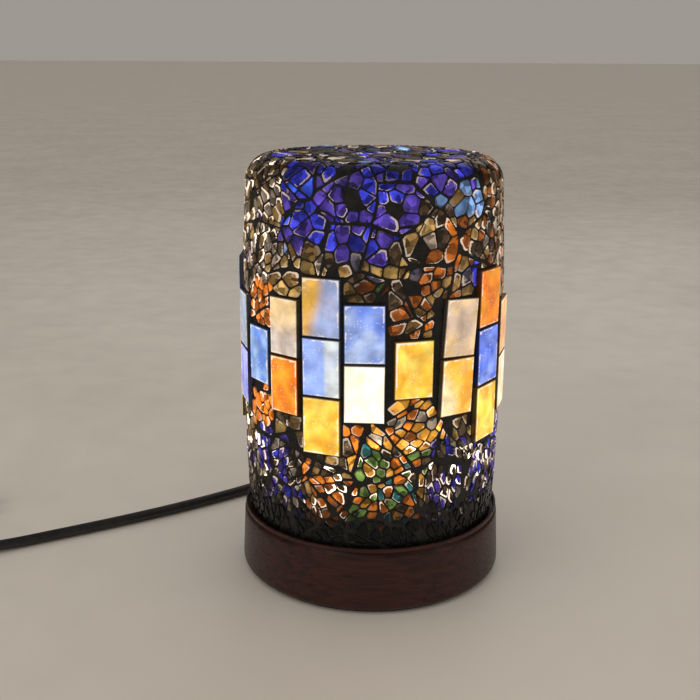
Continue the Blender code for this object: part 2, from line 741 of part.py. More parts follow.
def coil_tie():
    """A flat band round the coil's bundle on its far side, with its free end standing out."""
    width = 6.0 * MM
    tie_x = COIL_CENTRE[0]
    inner_y = COIL_CENTRE[1] - COIL_INNER_R + GAP
    outer_y = COIL_CENTRE[1] - COIL_OUTER_R - GAP
    low_z = 0.05 * MM
    high_z = COIL_HEIGHT + GAP
    thick = 0.9 * MM
    middle_y = (inner_y + outer_y) / 2
    middle_z = (low_z + high_z) / 2
    band = box(
        "coil_tie", (tie_x, middle_y, middle_z + thick / 2),
        (width, inner_y - outer_y + 2 * thick, high_z - low_z + thick), PVC)
    hole = box(
        "tie_hole", (tie_x, middle_y, middle_z - 2.0 * MM),
        (width * 2, inner_y - outer_y, high_z - low_z + 4.0 * MM), None, 0.0, cutters)
    cut(band, hole)


def switch_set():
    frame = empty("switch_frame", SWITCH_PLACE, SWITCH_ANGLE)
    half = SWITCH_LENGTH / 2
    nose = 6.5 * MM
    wide = SWITCH_WIDTH / 2

    def outline(name, bottom_z, top_z):
        curve = bpy.data.curves.new(name, "CURVE")
        curve.dimensions = "2D"
        curve.fill_mode = "BOTH"
        curve.extrude = (top_z - bottom_z) / 2
        spline = curve.splines.new("POLY")
        corners = [
            (-half, nose / 2), (-half + 14.0 * MM, wide - 0.6 * MM), (-half + 17.0 * MM, wide),
            (half - 17.0 * MM, wide), (half - 14.0 * MM, wide - 0.6 * MM), (half, nose / 2),
        ]
        corners += [(x, -y) for x, y in reversed(corners)]
        spline.points.add(len(corners) - 1)
        for point, (x, y) in zip(spline.points, corners):
            point.co = (x, y, 0.0, 1.0)
        spline.use_cyclic_u = True
        flat = bpy.data.objects.new(name, curve)
        parts.objects.link(flat)
        graph = bpy.context.evaluated_depsgraph_get()
        mesh = bpy.data.meshes.new_from_object(flat.evaluated_get(graph))
        bpy.data.objects.remove(flat, do_unlink=True)
        bm = bmesh.new()
        bm.from_mesh(mesh)
        bmesh.ops.remove_doubles(bm, verts=bm.verts, dist=0.00001)
        bmesh.ops.translate(bm, verts=bm.verts, vec=(0.0, 0.0, (top_z + bottom_z) / 2))
        bm.to_mesh(mesh)
        bm.free()
        mesh.materials.clear()
        solid = place(mesh, name, PVC)
        solid.parent = frame
        return solid

    bottom = outline("switch_bottom", 0.1 * MM, SWITCH_SPLIT_Z)
    top = outline("switch_top", SWITCH_SPLIT_Z + GAP, SWITCH_TOP_Z)
    window = box(
        "switch_window", (0.0, 0.0, 10.0 * MM),
        (ROCKER_LENGTH + 1.6 * MM, ROCKER_WIDTH + 0.8 * MM, 12.0 * MM), None, 0.0, cutters)
    window.parent = frame
    cut(top, window)
    for i, x in enumerate((-SWITCH_SCREW_X, SWITCH_SCREW_X)):
        hole = turned(f"switch_hole_{i + 1}", [
            (0.0, 10.0 * MM),
            (1.3 * MM, 10.0 * MM),
            (1.3 * MM, 1.9 * MM),
            (2.3 * MM, 1.9 * MM),
            (2.3 * MM, -1.0 * MM),
            (0.0, -1.0 * MM),
        ], None, closed=False, steps=16, collection=cutters)
        hole.location = (x, 0.0, 0.0)
        hole.parent = frame
        cut(bottom, hole)
        cut(top, hole)
    add_bevel(bottom, 0.8 * MM)
    add_bevel(top, 1.2 * MM)
    for i, x in enumerate((-SWITCH_SCREW_X, SWITCH_SCREW_X)):
        fixing = screw(f"switch_screw_{i + 1}", (x, 0.0, 0.5 * MM), 1.9 * MM, 1.1 * MM, 1.0 * MM, 8.9 * MM)
        fixing.parent = frame
    rocker(frame)


def rocker(frame):
    """A shallow V-shaped key that rocks on a pin across the switch."""
    pivot = empty("rocker_pivot", (0.0, 0.0, ROCKER_AXIS_Z))
    pivot.parent = frame
    bm = bmesh.new()
    bmesh.ops.create_grid(bm, x_segments=6, y_segments=1, size=0.5)
    for vert in bm.verts:
        u = vert.co.x
        vert.co.x = u * ROCKER_LENGTH
        vert.co.y = vert.co.y * ROCKER_WIDTH
        vert.co.z = 0.6 * MM + 1.6 * MM * (abs(u) * 2) ** 1.5
    bmesh.ops.recalc_face_normals(bm, faces=bm.faces)
    key = place(mesh_from(bm, "switch_rocker"), "switch_rocker", PHENOLIC)
    solid = key.modifiers.new("thickness", "SOLIDIFY")
    solid.thickness = 3.2 * MM
    solid.offset = 0.0
    key.parent = pivot
    key.rotation_euler = (0.0, radians(ROCKER_TILT), 0.0)


def plug():
    """A moulded two-pin plug: round neck at the cord, flat head, two blades."""
    bm = bmesh.new()
    neck_turn = Matrix.Translation((PLUG_BACK_X, PLUG_Y, PLUG_Z)) @ Matrix.Rotation(pi / 2, 4, "Y")
    add_cylinder(bm, (0.0, 0.0, 0.0), 3.9 * MM, PLUG_NECK + 2.0 * MM, 20, 5.6 * MM, neck_turn)
    neck = place(mesh_from(bm, "plug_neck"), "plug_neck", None, cutters)
    head_x = PLUG_BACK_X + PLUG_NECK + PLUG_HEAD / 2
    body = box(
        "plug_body", (head_x, PLUG_Y, PLUG_Z), (PLUG_HEAD, 25.0 * MM, 15.6 * MM), PVC, 3.0 * MM)
    body.modifiers["edges"].segments = 3
    join(body, neck)
    pin_start = PLUG_BACK_X + PLUG_NECK + PLUG_HEAD
    pin_x = pin_start + GAP + PIN_LENGTH / 2
    for i, side in enumerate((-0.5, 0.5)):
        y = PLUG_Y + side * PIN_SPACING
        box(f"plug_pin_{i + 1}", (pin_x, y, PLUG_Z), (PIN_LENGTH, 1.5 * MM, 6.3 * MM), STEEL, 0.35 * MM)


wooden_base()
felt_pad()
base_cover()
cover_screws()
cord_grommet()
cord_clamp()
nipple_set()
lamp_holder()
lead_wires()
bulb()
glass_shade()
crackle_mosaic()
tile_band()
cords()
coil_tie()
switch_set()
plug()
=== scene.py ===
import random
from math import atan2, ceil, cos, exp, hypot, pi, radians, sin, sqrt

import bmesh
import bpy
from mathutils import Matrix, Vector, noise


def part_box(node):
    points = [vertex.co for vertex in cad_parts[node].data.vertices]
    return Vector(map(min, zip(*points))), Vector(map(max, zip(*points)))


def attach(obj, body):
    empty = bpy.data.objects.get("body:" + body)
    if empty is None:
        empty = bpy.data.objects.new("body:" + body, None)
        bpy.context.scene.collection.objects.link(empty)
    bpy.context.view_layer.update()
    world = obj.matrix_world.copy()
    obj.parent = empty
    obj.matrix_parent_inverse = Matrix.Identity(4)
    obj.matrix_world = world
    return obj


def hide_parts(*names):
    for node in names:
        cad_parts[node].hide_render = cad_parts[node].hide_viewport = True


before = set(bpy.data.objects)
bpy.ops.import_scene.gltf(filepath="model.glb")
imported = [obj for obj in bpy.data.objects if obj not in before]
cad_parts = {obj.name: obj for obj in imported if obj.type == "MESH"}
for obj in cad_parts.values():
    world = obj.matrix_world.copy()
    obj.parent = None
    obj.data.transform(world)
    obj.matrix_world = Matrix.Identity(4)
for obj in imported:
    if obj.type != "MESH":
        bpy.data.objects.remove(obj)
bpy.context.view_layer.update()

MM = 0.001
SEED = 41
random.seed(SEED)
noise.seed_set(SEED)

# The shade's surface: heights and radii of its side, a round shoulder, and a flat top. Lengths along its
# outline run up the side, over the shoulder and in to the middle; the side unrolls at one mean radius
LAMP_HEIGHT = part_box("mosaic_crown")[1][2]
SHOULDER_R = 12.0 * MM
SHOULDER_Z = LAMP_HEIGHT - SHOULDER_R
SHADE_RADII = [
    (29.3 * MM, 59.6 * MM), (45.0 * MM, 60.6 * MM), (75.0 * MM, 61.4 * MM),
    (150.0 * MM, 61.3 * MM), (175.0 * MM, 60.0 * MM), (188.0 * MM, 59.4 * MM),
]
FLAT_R = SHADE_RADII[-1][1] - SHOULDER_R
SHOULDER_ARC = SHOULDER_R * pi / 2
OUTLINE_TOP = SHOULDER_Z + SHOULDER_ARC + FLAT_R
UNROLL_R = 61.0 * MM
ROUND = 2 * pi * UNROLL_R
SEAM = SHOULDER_Z + 17.8 * MM
SHADE_FOOT = SHADE_RADII[0][0]

# Crackle glass: large pieces, each cracked into chips and bedded in grout, with a few chips missing.
# Depths are under the shade's face
CLUSTER_SPACING = 17.0 * MM
SMALLEST_CHIP = 3.0 * MM ** 2
NARROWEST_IN_BAND = 2.6 * MM
LOST_SHARE = 0.03
CROWN_CHIP = 8.5 * MM
CHIP_BACK = 1.9 * MM
GROUT_DEPTH = 0.75 * MM

# Large tiles, and the band they stand in
TILE_HEIGHT = 25.4 * MM
TILE_PITCH = 26.4 * MM
TILE_BACK_R = 59.6 * MM
TILE_THICK = 3.0 * MM
TILE_CHAMFER = 0.5 * MM
TILE_JOINT = 0.9 * MM
BAND_LOW = 74.5 * MM
BAND_HIGH = 154.5 * MM

# Columns of tiles: degrees from the front, width and bottom edge in millimetres, glass from the bottom up
COLUMNS = [
    (-72.5, 15.6, 87.0, ("blue_violet", "pale_blue")),
    (-54.3, 15.6, 101.2, ("sky",)),
    (-38.2, 15.6, 90.7, ("orange", "cream_grey")),
    (-20.5, 17.2, 75.0, ("amber", "blue_clear", "amber_blue")),
    # painted light: the lower tile here carries the bulb's white glare
    (-2.9, 17.4, 90.9, ("bulb_glare", "blue")),
    (16.7, 17.2, 101.4, ("amber",)),
    (36.9, 17.6, 91.2, ("amber_white", "cream_tan")),
    (56.3, 17.4, 75.2, ("amber", "deep_blue", "orange")),
    (75.3, 17.2, 84.8, ("cream", "tan")),
    (93.2, 16.6, 101.2, ("blue",)),
    (111.0, 16.6, 90.8, ("amber", "cream")),
    (128.8, 16.6, 75.1, ("orange", "amber_white", "sky")),
    (146.6, 16.6, 91.0, ("blue", "amber")),
    (164.4, 16.6, 101.3, ("cream",)),
    (182.1, 16.6, 90.8, ("orange", "blue_clear")),
    (199.9, 16.6, 75.0, ("amber_white", "amber", "blue")),
    (217.7, 16.6, 90.9, ("sky", "orange")),
    (235.5, 16.6, 101.1, ("amber",)),
    (253.3, 16.6, 90.7, ("cream", "deep_blue")),
    (270.6, 15.6, 75.1, ("amber", "tan", "blue")),
]

# Tiles that were set leaning, by column and place in it: degrees of lean and a slide, to the right
LEANING = {(6, 0): (2.0, 0.1 * MM), (6, 1): (4.0, 1.2 * MM)}

# Glass colours, as two tones that run into each other; bulb_glare is no glass colour but painted light,
# the white glare of the bulb straight behind a tile
TILE_TONES = {
    "blue": ((0.16, 0.27, 0.80), (0.42, 0.52, 0.78)),
    "sky": ((0.12, 0.26, 0.74), (0.34, 0.48, 0.80)),
    "deep_blue": ((0.08, 0.15, 0.74), (0.24, 0.34, 0.82)),
    "blue_violet": ((0.17, 0.19, 0.72), (0.34, 0.38, 0.75)),
    "pale_blue": ((0.26, 0.33, 0.46), (0.40, 0.42, 0.45)),
    "blue_clear": ((0.30, 0.41, 0.86), (0.62, 0.66, 0.66)),
    "amber_blue": ((0.90, 0.48, 0.07), (0.38, 0.46, 0.74)),
    "amber": ((0.96, 0.45, 0.03), (1.0, 0.70, 0.11)),
    "amber_white": ((0.98, 0.43, 0.04), (0.92, 0.72, 0.38)),
    "orange": ((0.95, 0.20, 0.008), (1.0, 0.36, 0.02)),
    "tan": ((0.70, 0.28, 0.07), (0.88, 0.46, 0.17)),
    "cream": ((0.80, 0.55, 0.27), (0.88, 0.72, 0.50)),
    "cream_grey": ((0.62, 0.51, 0.44), (0.90, 0.62, 0.29)),
    "cream_tan": ((0.64, 0.47, 0.34), (0.92, 0.60, 0.27)),
    "bulb_glare": ((1.25, 1.1, 0.80), (1.35, 1.25, 1.0)),
}
COBALT = (0.045, 0.05, 0.62)
BRIGHT_BLUE = (0.05, 0.12, 0.92)
VIOLET = (0.10, 0.055, 0.42)
GREY_VIOLET = (0.14, 0.11, 0.15)
PALE_BLUE = (0.22, 0.38, 0.72)
BRONZE = (0.33, 0.18, 0.055)
GOLD = (0.56, 0.34, 0.10)
CLEAR = (0.46, 0.35, 0.25)
SMOKE = (0.085, 0.05, 0.025)
RUST = (0.42, 0.11, 0.016)
ORANGE = (0.80, 0.20, 0.015)
AMBER = (0.85, 0.36, 0.04)
GREEN = (0.15, 0.25, 0.05)
TEAL = (0.03, 0.17, 0.17)

# How the glass is broken, by zone; the first that holds a place counts. Angles from the front in degrees,
# heights in millimetres, the chips' size in millimetres, their stretch, and its directions in degrees
BREAKAGE = [
    ((-28.0, 22.0), (0.0, 78.0), 4.3, 1.35, (0.0, 180.0)),
    ((-91.0, 91.0), (0.0, 78.0), 3.3, 1.9, (65.0, 115.0)),
    ((-91.0, -44.0), (78.0, 300.0), 4.6, 1.5, (60.0, 120.0)),
    ((47.0, 91.0), (78.0, 300.0), 4.6, 1.5, (60.0, 120.0)),
    ((12.0, 42.0), (78.0, 166.0), 4.6, 1.25, (30.0, 70.0)),
    ((-91.0, 91.0), (78.0, 300.0), 6.9, 1.2, (0.0, 180.0)),
]

# The lower crackle glass, up to each angle from the front: weighted colours, glow, and light in the edges
LOWER_ZONES = [
    (-60.0, ((4, BRONZE), (3, SMOKE), (2, VIOLET)), 0.4, 0.9),
    (-29.0, ((4, VIOLET), (1, CLEAR), (2, COBALT), (4, SMOKE)), 0.4, 1.0),
    (-9.0, ((3, RUST), (3, ORANGE), (2, BRONZE), (2, SMOKE)), 0.8, 1.7),
    (5.0, ((3, GREEN), (1, TEAL), (3, AMBER), (2, ORANGE)), 0.65, 0.9),
    (24.0, ((2, AMBER), (2, ORANGE), (1.5, GREEN), (1.5, TEAL), (3, SMOKE)), 0.5, 1.0),
    (60.0, ((1, CLEAR), (2.5, VIOLET), (4, SMOKE), (1.5, COBALT)), 0.35, 1.5),
    (91.0, ((1, CLEAR), (3, VIOLET), (2, COBALT), (2, SMOKE)), 0.45, 1.0),
]
BULB_REACH = 34.0

# Cord set: the flex, its exit in metres, then in millimetres its route from the clamp inside the base and
# the coil of spare flex
CORD_D = 5.4 * MM
CORD_EXIT = (0.0, 0.0636, 0.0115)
LAMP_ROUTE = [
    (0.0, 34.0, 11.5), (0.0, 50.0, 11.5), (0.0, 66.0, 11.5), (0.0, 82.0, 11.5), (-1.8, 91.2, 11.1),
    (-7.0, 99.0, 10.0), (-14.8, 104.2, 8.4), (-24.0, 106.0, 6.3), (-33.2, 104.2, 4.4), (-41.5, 99.0, 3.2),
    (-56.0, 84.2, 2.8), (-72.0, 69.6, 2.8), (-100.0, 47.8, 2.8), (-131.0, 27.0, 2.8), (-160.0, 9.6, 2.8),
    (-187.0, -6.4, 3.2), (-201.4, -14.9, 5.0),
]
COIL_ROUTE = [
    (-250.6, -43.9, 5.0), (-264.0, -51.9, 3.6), (-278.9, -60.4, 2.8), (-288.9, -64.6, 2.8),
    (-299.3, -66.2, 2.8), (-311.7, -64.2, 2.8), (-322.8, -58.6, 2.8), (-331.7, -49.7, 2.8),
    (-337.3, -38.6, 2.8), (-339.2, -28.0, 2.8), (-339.3, -22.3, 2.8),
]
PLUG_ROUTE = [(-276.8, 41.0, 8.2), (-270.0, 41.0, 8.2), (-264.0, 41.0, 8.3), (-258.3, 41.0, 8.3)]
COIL_CENTRE = (-299.0, 0.7)
COIL_OUTER = 40.3
COIL_TURNS = 3
COIL_RISE = 0.25
COIL_LAYERS = (2.8, 8.2)
POINTS_PER_TURN = 28


# ---------------------------------------------------------------- camera, floor and light

def camera():
    """Stands in front of the lamp, a little above it, as a person at a table sees it."""
    place = Vector((0.0, -0.4872, 0.2428))
    pitch, yaw, roll = radians(15.668), radians(-1.256), radians(0.303)
    ahead = Vector((sin(yaw) * cos(pitch), cos(yaw) * cos(pitch), -sin(pitch)))
    right = Vector((cos(yaw), -sin(yaw), 0.0))
    up = right.cross(ahead)
    level_right = right * cos(roll) + up * sin(roll)
    level_up = up * cos(roll) - right * sin(roll)
    data = bpy.data.cameras.new("camera")
    data.lens = 54.0
    data.sensor_width = 36.0
    data.clip_start = 0.01
    eye = bpy.data.objects.new("camera", data)
    bpy.context.scene.collection.objects.link(eye)
    turn = Matrix((level_right, level_up, -ahead)).transposed()
    eye.matrix_world = Matrix.Translation(place) @ turn.to_4x4()
    bpy.context.scene.camera = eye


def area_light(name, place, aim_z, size, power, colour):
    """A round soft light that shines on the lamp's axis at a height."""
    data = bpy.data.lights.new(name, "AREA")
    data.shape = "DISK"
    data.size = size
    data.energy = power
    data.color = colour
    light = bpy.data.objects.new(name, data)
    bpy.context.scene.collection.objects.link(light)
    light.location = place
    light.rotation_euler = (Vector((0.0, 0.0, aim_z)) - Vector(place)).to_track_quat("-Z", "Y").to_euler()


def backdrop():
    """An even warm surround, dimmer where it is seen directly, and much dimmer in reflections."""
    world = bpy.data.worlds.new("studio")
    world.use_nodes = True
    tree = world.node_tree
    sky = tree.nodes["Background"]
    sky.inputs["Color"].default_value = (1.0, 0.93, 0.84, 1.0)
    rays = tree.nodes.new("ShaderNodeLightPath")
    seen = remap(tree, rays.outputs["Is Camera Ray"], 0.0, 1.0, 0.62, 0.34)
    mirrored = remap(tree, rays.outputs["Is Glossy Ray"], 0.0, 1.0, 1.0, 0.12)
    tree.links.new(maths(tree, "MULTIPLY", seen, mirrored), sky.inputs["Strength"])
    bpy.context.scene.world = world


def studio():
    """Soft light from three sides and a pale table top."""
    area_light("key", (-0.7, -0.8, 0.95), 0.08, 0.9, 2.4, (1.0, 0.94, 0.86))
    area_light("fill", (0.9, -0.5, 0.6), 0.08, 0.9, 0.9, (1.0, 0.96, 0.92))
    area_light("back", (0.2, 0.9, 0.8), 0.1, 0.8, 1.2, (1.0, 1.0, 1.0))
    bpy.context.scene.view_settings.view_transform = "Standard"
    backdrop()
    bm = bmesh.new()
    bmesh.ops.create_grid(bm, x_segments=1, y_segments=1, size=40.0)
    pale = two_tone("pale_table", (0.60, 0.565, 0.52), (0.64, 0.605, 0.56), 6.0, 0.55, 0.04)
    floor = add_mesh(bm, "floor", pale)
    floor.location = (0.0, 0.0, -0.0002)


# ---------------------------------------------------------------- meshes and curves

def add_mesh(bm, name, mat, smooth_angle=None):
    """Turns a bmesh into a linked object; edges sharper than the angle in degrees stay crisp."""
    mesh = bpy.data.meshes.new(name)
    bm.to_mesh(mesh)
    bm.free()
    mesh.materials.append(mat)
    if smooth_angle is not None:
        mesh.shade_smooth()
        mesh.set_sharp_from_angle(angle=radians(smooth_angle))
    obj = bpy.data.objects.new(name, mesh)
    bpy.context.scene.collection.objects.link(obj)
    return obj


def band(bm, low, high):
    """Joins two rings of corners with a band of faces."""
    for i in range(len(low)):
        bm.faces.new((low[i - 1], low[i], high[i], high[i - 1]))


def smooth_route(points, step):
    """Evenly spaced points on a smooth curve through the route's points (centripetal spline)."""
    chain = [points[0] * 2 - points[1], *points, points[-1] * 2 - points[-2]]
    parts = 16
    fine = []
    for i in range(1, len(chain) - 2):
        p0, p1, p2, p3 = chain[i - 1:i + 3]
        t0 = 0.0
        t1 = t0 + (p1 - p0).length ** 0.5
        t2 = t1 + (p2 - p1).length ** 0.5
        t3 = t2 + (p3 - p2).length ** 0.5
        for k in range(parts):
            t = t1 + (t2 - t1) * k / parts
            a1 = p0 * ((t1 - t) / (t1 - t0)) + p1 * ((t - t0) / (t1 - t0))
            a2 = p1 * ((t2 - t) / (t2 - t1)) + p2 * ((t - t1) / (t2 - t1))
            a3 = p2 * ((t3 - t) / (t3 - t2)) + p3 * ((t - t2) / (t3 - t2))
            b1 = a1 * ((t2 - t) / (t2 - t0)) + a2 * ((t - t0) / (t2 - t0))
            b2 = a2 * ((t3 - t) / (t3 - t1)) + a3 * ((t - t1) / (t3 - t1))
            fine.append(b1 * ((t2 - t) / (t2 - t1)) + b2 * ((t - t1) / (t2 - t1)))
    fine.append(points[-1])
    lengths = [0.0]
    for a, b in zip(fine, fine[1:]):
        lengths.append(lengths[-1] + (b - a).length)
    count = max(2, round(lengths[-1] / step))
    result = []
    j = 0
    for i in range(count + 1):
        wanted = lengths[-1] * i / count
        while j < len(fine) - 2 and lengths[j + 1] < wanted:
            j += 1
        share = (wanted - lengths[j]) / (lengths[j + 1] - lengths[j])
        result.append(fine[j].lerp(fine[j + 1], share))
    return result


def cord_curve(name, points, mat):
    """A round cord along a line of points."""
    curve = bpy.data.curves.new(name, "CURVE")
    curve.dimensions = "3D"
    curve.bevel_depth = CORD_D / 2
    curve.bevel_resolution = 5
    curve.use_fill_caps = True
    spline = curve.splines.new("POLY")
    spline.points.add(len(points) - 1)
    for point, co in zip(spline.points, points):
        point.co = (*co, 1.0)
    spline.use_smooth = True
    curve.materials.append(mat)
    obj = bpy.data.objects.new(name, curve)
    bpy.context.scene.collection.objects.link(obj)
    return obj


# ---------------------------------------------------------------- materials

def surface(name, **values):
    """A node material with one Principled shader; the values are set on its sockets."""
    mat = bpy.data.materials.new(name)
    mat.use_nodes = True
    shader = mat.node_tree.nodes["Principled BSDF"]
    for socket, value in values.items():
        shader.inputs[socket.replace("_", " ")].default_value = value
    return mat, mat.node_tree, shader


def pattern(tree, kind, scale, detail=3.0, distortion=0.0, stretch=(1.0, 1.0, 1.0)):
    """A noise or cell texture in the object's own metres; returns its value output."""
    coords = tree.nodes.new("ShaderNodeTexCoord")
    mapping = tree.nodes.new("ShaderNodeMapping")
    mapping.inputs["Scale"].default_value = stretch
    texture = tree.nodes.new(kind)
    texture.inputs["Scale"].default_value = scale
    if kind == "ShaderNodeTexNoise":
        texture.inputs["Detail"].default_value = detail
        texture.inputs["Distortion"].default_value = distortion
    tree.links.new(coords.outputs["Object"], mapping.inputs["Vector"])
    tree.links.new(mapping.outputs["Vector"], texture.inputs["Vector"])
    return texture.outputs["Distance" if kind == "ShaderNodeTexVoronoi" else "Fac"]


def remap(tree, value, low, high, to_low, to_high):
    """Eases a value from one range to another."""
    ramp = tree.nodes.new("ShaderNodeMapRange")
    ramp.interpolation_type = "SMOOTHSTEP"
    ranges = {"From Min": low, "From Max": high, "To Min": to_low, "To Max": to_high}
    for socket, number in ranges.items():
        ramp.inputs[socket].default_value = number
    tree.links.new(value, ramp.inputs["Value"])
    return ramp.outputs["Result"]


def maths(tree, operation, first, second):
    """An arithmetic step on two sockets, or on a socket and a number."""
    step = tree.nodes.new("ShaderNodeMath")
    step.operation = operation
    for socket, value in zip(step.inputs, (first, second)):
        if isinstance(value, float):
            socket.default_value = value
        else:
            tree.links.new(value, socket)
    return step.outputs["Value"]


def mixed(tree, share, first, second, blend="MIX"):
    """Two colours mixed by a share; each of the three is a socket or a constant."""
    mix = tree.nodes.new("ShaderNodeMix")
    mix.data_type = "RGBA"
    mix.blend_type = blend
    for socket, value in ((mix.inputs[0], share), (mix.inputs[6], first), (mix.inputs[7], second)):
        if isinstance(value, float):
            socket.default_value = value
        elif isinstance(value, tuple):
            socket.default_value = (*value, 1.0)
        else:
            tree.links.new(value, socket)
    return mix.outputs[2]


def bump(tree, shader, height, strength, distance):
    """Relief on the shader's surface, from a height socket."""
    node = tree.nodes.new("ShaderNodeBump")
    node.inputs["Strength"].default_value = strength
    node.inputs["Distance"].default_value = distance
    tree.links.new(height, node.inputs["Height"])
    tree.links.new(node.outputs["Normal"], shader.inputs["Normal"])


def attribute(tree, name, output):
    """A value that each corner of a glass mesh carries."""
    node = tree.nodes.new("ShaderNodeAttribute")
    node.attribute_name = name
    return node.outputs[output]


def two_tone(name, dark, light, scale, roughness, relief, metallic=0.0):
    """A surface whose colour drifts between two tones, with a fine grain and uneven gloss."""
    mat, tree, shader = surface(name, Metallic=metallic)
    drift = pattern(tree, "ShaderNodeTexNoise", scale, 4.0, 0.3)
    grain = pattern(tree, "ShaderNodeTexNoise", scale * 6.0, 2.0)
    colour = mixed(tree, remap(tree, drift, 0.3, 0.7, 0.0, 1.0), dark, light)
    tree.links.new(colour, shader.inputs["Base Color"])
    gloss = remap(tree, grain, 0.2, 0.8, roughness * 0.8, roughness * 1.2)
    tree.links.new(gloss, shader.inputs["Roughness"])
    bump(tree, shader, grain, relief, 0.0002)
    return mat


def facets(tree, scale):
    """A different random number, from 0 to 1, on each small facet of broken glass."""
    coords = tree.nodes.new("ShaderNodeTexCoord")
    texture = tree.nodes.new("ShaderNodeTexVoronoi")
    texture.inputs["Scale"].default_value = scale
    tree.links.new(coords.outputs["Object"], texture.inputs["Vector"])
    split = tree.nodes.new("ShaderNodeSeparateColor")
    tree.links.new(texture.outputs["Color"], split.inputs["Color"])
    return split.outputs["Red"]


def lit_glass(name, specular, facet_scale, facet_low, noise_scale, glint_range, glint_colour, whiteness):
    """Coloured glass lit from behind: the tint glows unevenly, and its edges catch thin glints."""
    mat, tree, shader = surface(name, IOR=1.5, Emission_Strength=1.0, Specular_IOR_Level=specular)
    tint = attribute(tree, "tint", "Color")
    rim = attribute(tree, "rim", "Fac")
    gleam = attribute(tree, "gleam", "Fac")
    facet = facets(tree, facet_scale)
    fine = pattern(tree, "ShaderNodeTexNoise", noise_scale, 3.0, 0.6)
    broad = pattern(tree, "ShaderNodeTexNoise", noise_scale * 0.3, 2.0, 0.5)
    cloud = remap(tree, broad, 0.3, 0.7, 0.8, 1.2)
    body = maths(tree, "MULTIPLY", cloud, remap(tree, facet, 0.0, 1.0, facet_low, 2.0 - facet_low))
    glow = mixed(tree, 1.0, tint, body, "MULTIPLY")
    edge = maths(tree, "MULTIPLY", rim, maths(tree, "ADD", maths(tree, "MULTIPLY", gleam, 0.22), 0.42))
    edge = maths(tree, "ADD", edge, maths(tree, "MULTIPLY", fine, 0.75))
    edge = maths(tree, "ADD", edge, maths(tree, "MULTIPLY", facet, 0.3))
    glint = remap(tree, edge, *glint_range, 0.0, 1.0)
    bright = mixed(tree, 1.0, mixed(tree, whiteness, tint, glint_colour), gleam, "MULTIPLY")
    return mat, tree, shader, mixed(tree, glint, glow, bright), facet, fine


def finish_glass(tree, shader, colour, facet, fine, relief):
    """The glow, the dark body under it, and a gloss and relief that change from facet to facet."""
    tree.links.new(colour, shader.inputs["Emission Color"])
    body = mixed(tree, remap(tree, fine, 0.3, 0.7, 0.02, 0.06), (0.004, 0.004, 0.004), colour)
    tree.links.new(body, shader.inputs["Base Color"])
    tree.links.new(remap(tree, facet, 0.0, 1.0, 0.1, 0.24), shader.inputs["Roughness"])
    bump(tree, shader, fine, relief, 0.0004)


def crackle_material():
    """Broken coloured glass, with small facets and sparkling edges."""
    mat, tree, shader, colour, facet, fine = lit_glass(
        "crackle_glass", specular=0.2, facet_scale=310.0, facet_low=0.35, noise_scale=900.0,
        glint_range=(0.75, 0.92), glint_colour=(1.0, 0.78, 0.60), whiteness=0.6)
    finish_glass(tree, shader, colour, facet, fine, 0.35)
    return mat


def tile_material():
    """Pressed glass: clouded, with fine bubbles and specks that show white."""
    mat, tree, shader, colour, facet, fine = lit_glass(
        "tile_glass", specular=0.5, facet_scale=160.0, facet_low=0.95, noise_scale=420.0,
        glint_range=(1.02, 1.22), glint_colour=(1.0, 0.90, 0.74), whiteness=0.75)
    bubbles = pattern(tree, "ShaderNodeTexVoronoi", 760.0)
    patches = pattern(tree, "ShaderNodeTexNoise", 110.0, 2.0)
    size = remap(tree, patches, 0.38, 0.62, 0.06, 0.28)
    speck = remap(tree, maths(tree, "SUBTRACT", bubbles, size), -0.1, 0.03, 0.4, 0.0)
    on_face = maths(tree, "MULTIPLY", speck, attribute(tree, "gleam", "Fac"))
    colour = mixed(tree, on_face, colour, (1.0, 0.95, 0.86))
    finish_glass(tree, shader, colour, facet, fine, 0.12)
    return mat


def wood_material():
    """Dark red-brown stain over close grain that runs straight across the turned block."""
    mat, tree, shader = surface(
        "stained_wood", Coat_Weight=0.08, Coat_Roughness=0.3, Specular_IOR_Level=0.3)
    grain = pattern(tree, "ShaderNodeTexNoise", 90.0, 6.0, 0.6, (0.25, 3.0, 4.0))
    pores = pattern(tree, "ShaderNodeTexNoise", 420.0, 2.0, 0.0, (0.12, 1.6, 2.2))
    streak = remap(tree, grain, 0.32, 0.68, 0.0, 1.0)
    colour = mixed(tree, streak, (0.022, 0.006, 0.005), (0.048, 0.012, 0.008))
    colour = mixed(tree, remap(tree, pores, 0.58, 0.72, 0.0, 0.7), colour, (0.009, 0.003, 0.0025))
    tree.links.new(colour, shader.inputs["Base Color"])
    tree.links.new(remap(tree, pores, 0.3, 0.8, 0.3, 0.5), shader.inputs["Roughness"])
    bump(tree, shader, pores, 0.12, 0.0003)
    return mat


def grout_material():
    """Black sanded grout."""
    return two_tone("black_grout", (0.003, 0.003, 0.003), (0.012, 0.010, 0.009), 260.0, 0.6, 0.5)


def clear_glass_material():
    """Thin blown glass, a little cloudy."""
    mat, tree, shader = surface("blown_glass", IOR=1.45, Transmission_Weight=0.95)
    haze = pattern(tree, "ShaderNodeTexNoise", 90.0, 2.0)
    tint = mixed(tree, remap(tree, haze, 0.3, 0.7, 0.0, 1.0), (0.96, 0.95, 0.92), (0.99, 0.98, 0.96))
    tree.links.new(tint, shader.inputs["Base Color"])
    tree.links.new(remap(tree, haze, 0.3, 0.7, 0.04, 0.12), shader.inputs["Roughness"])
    return mat


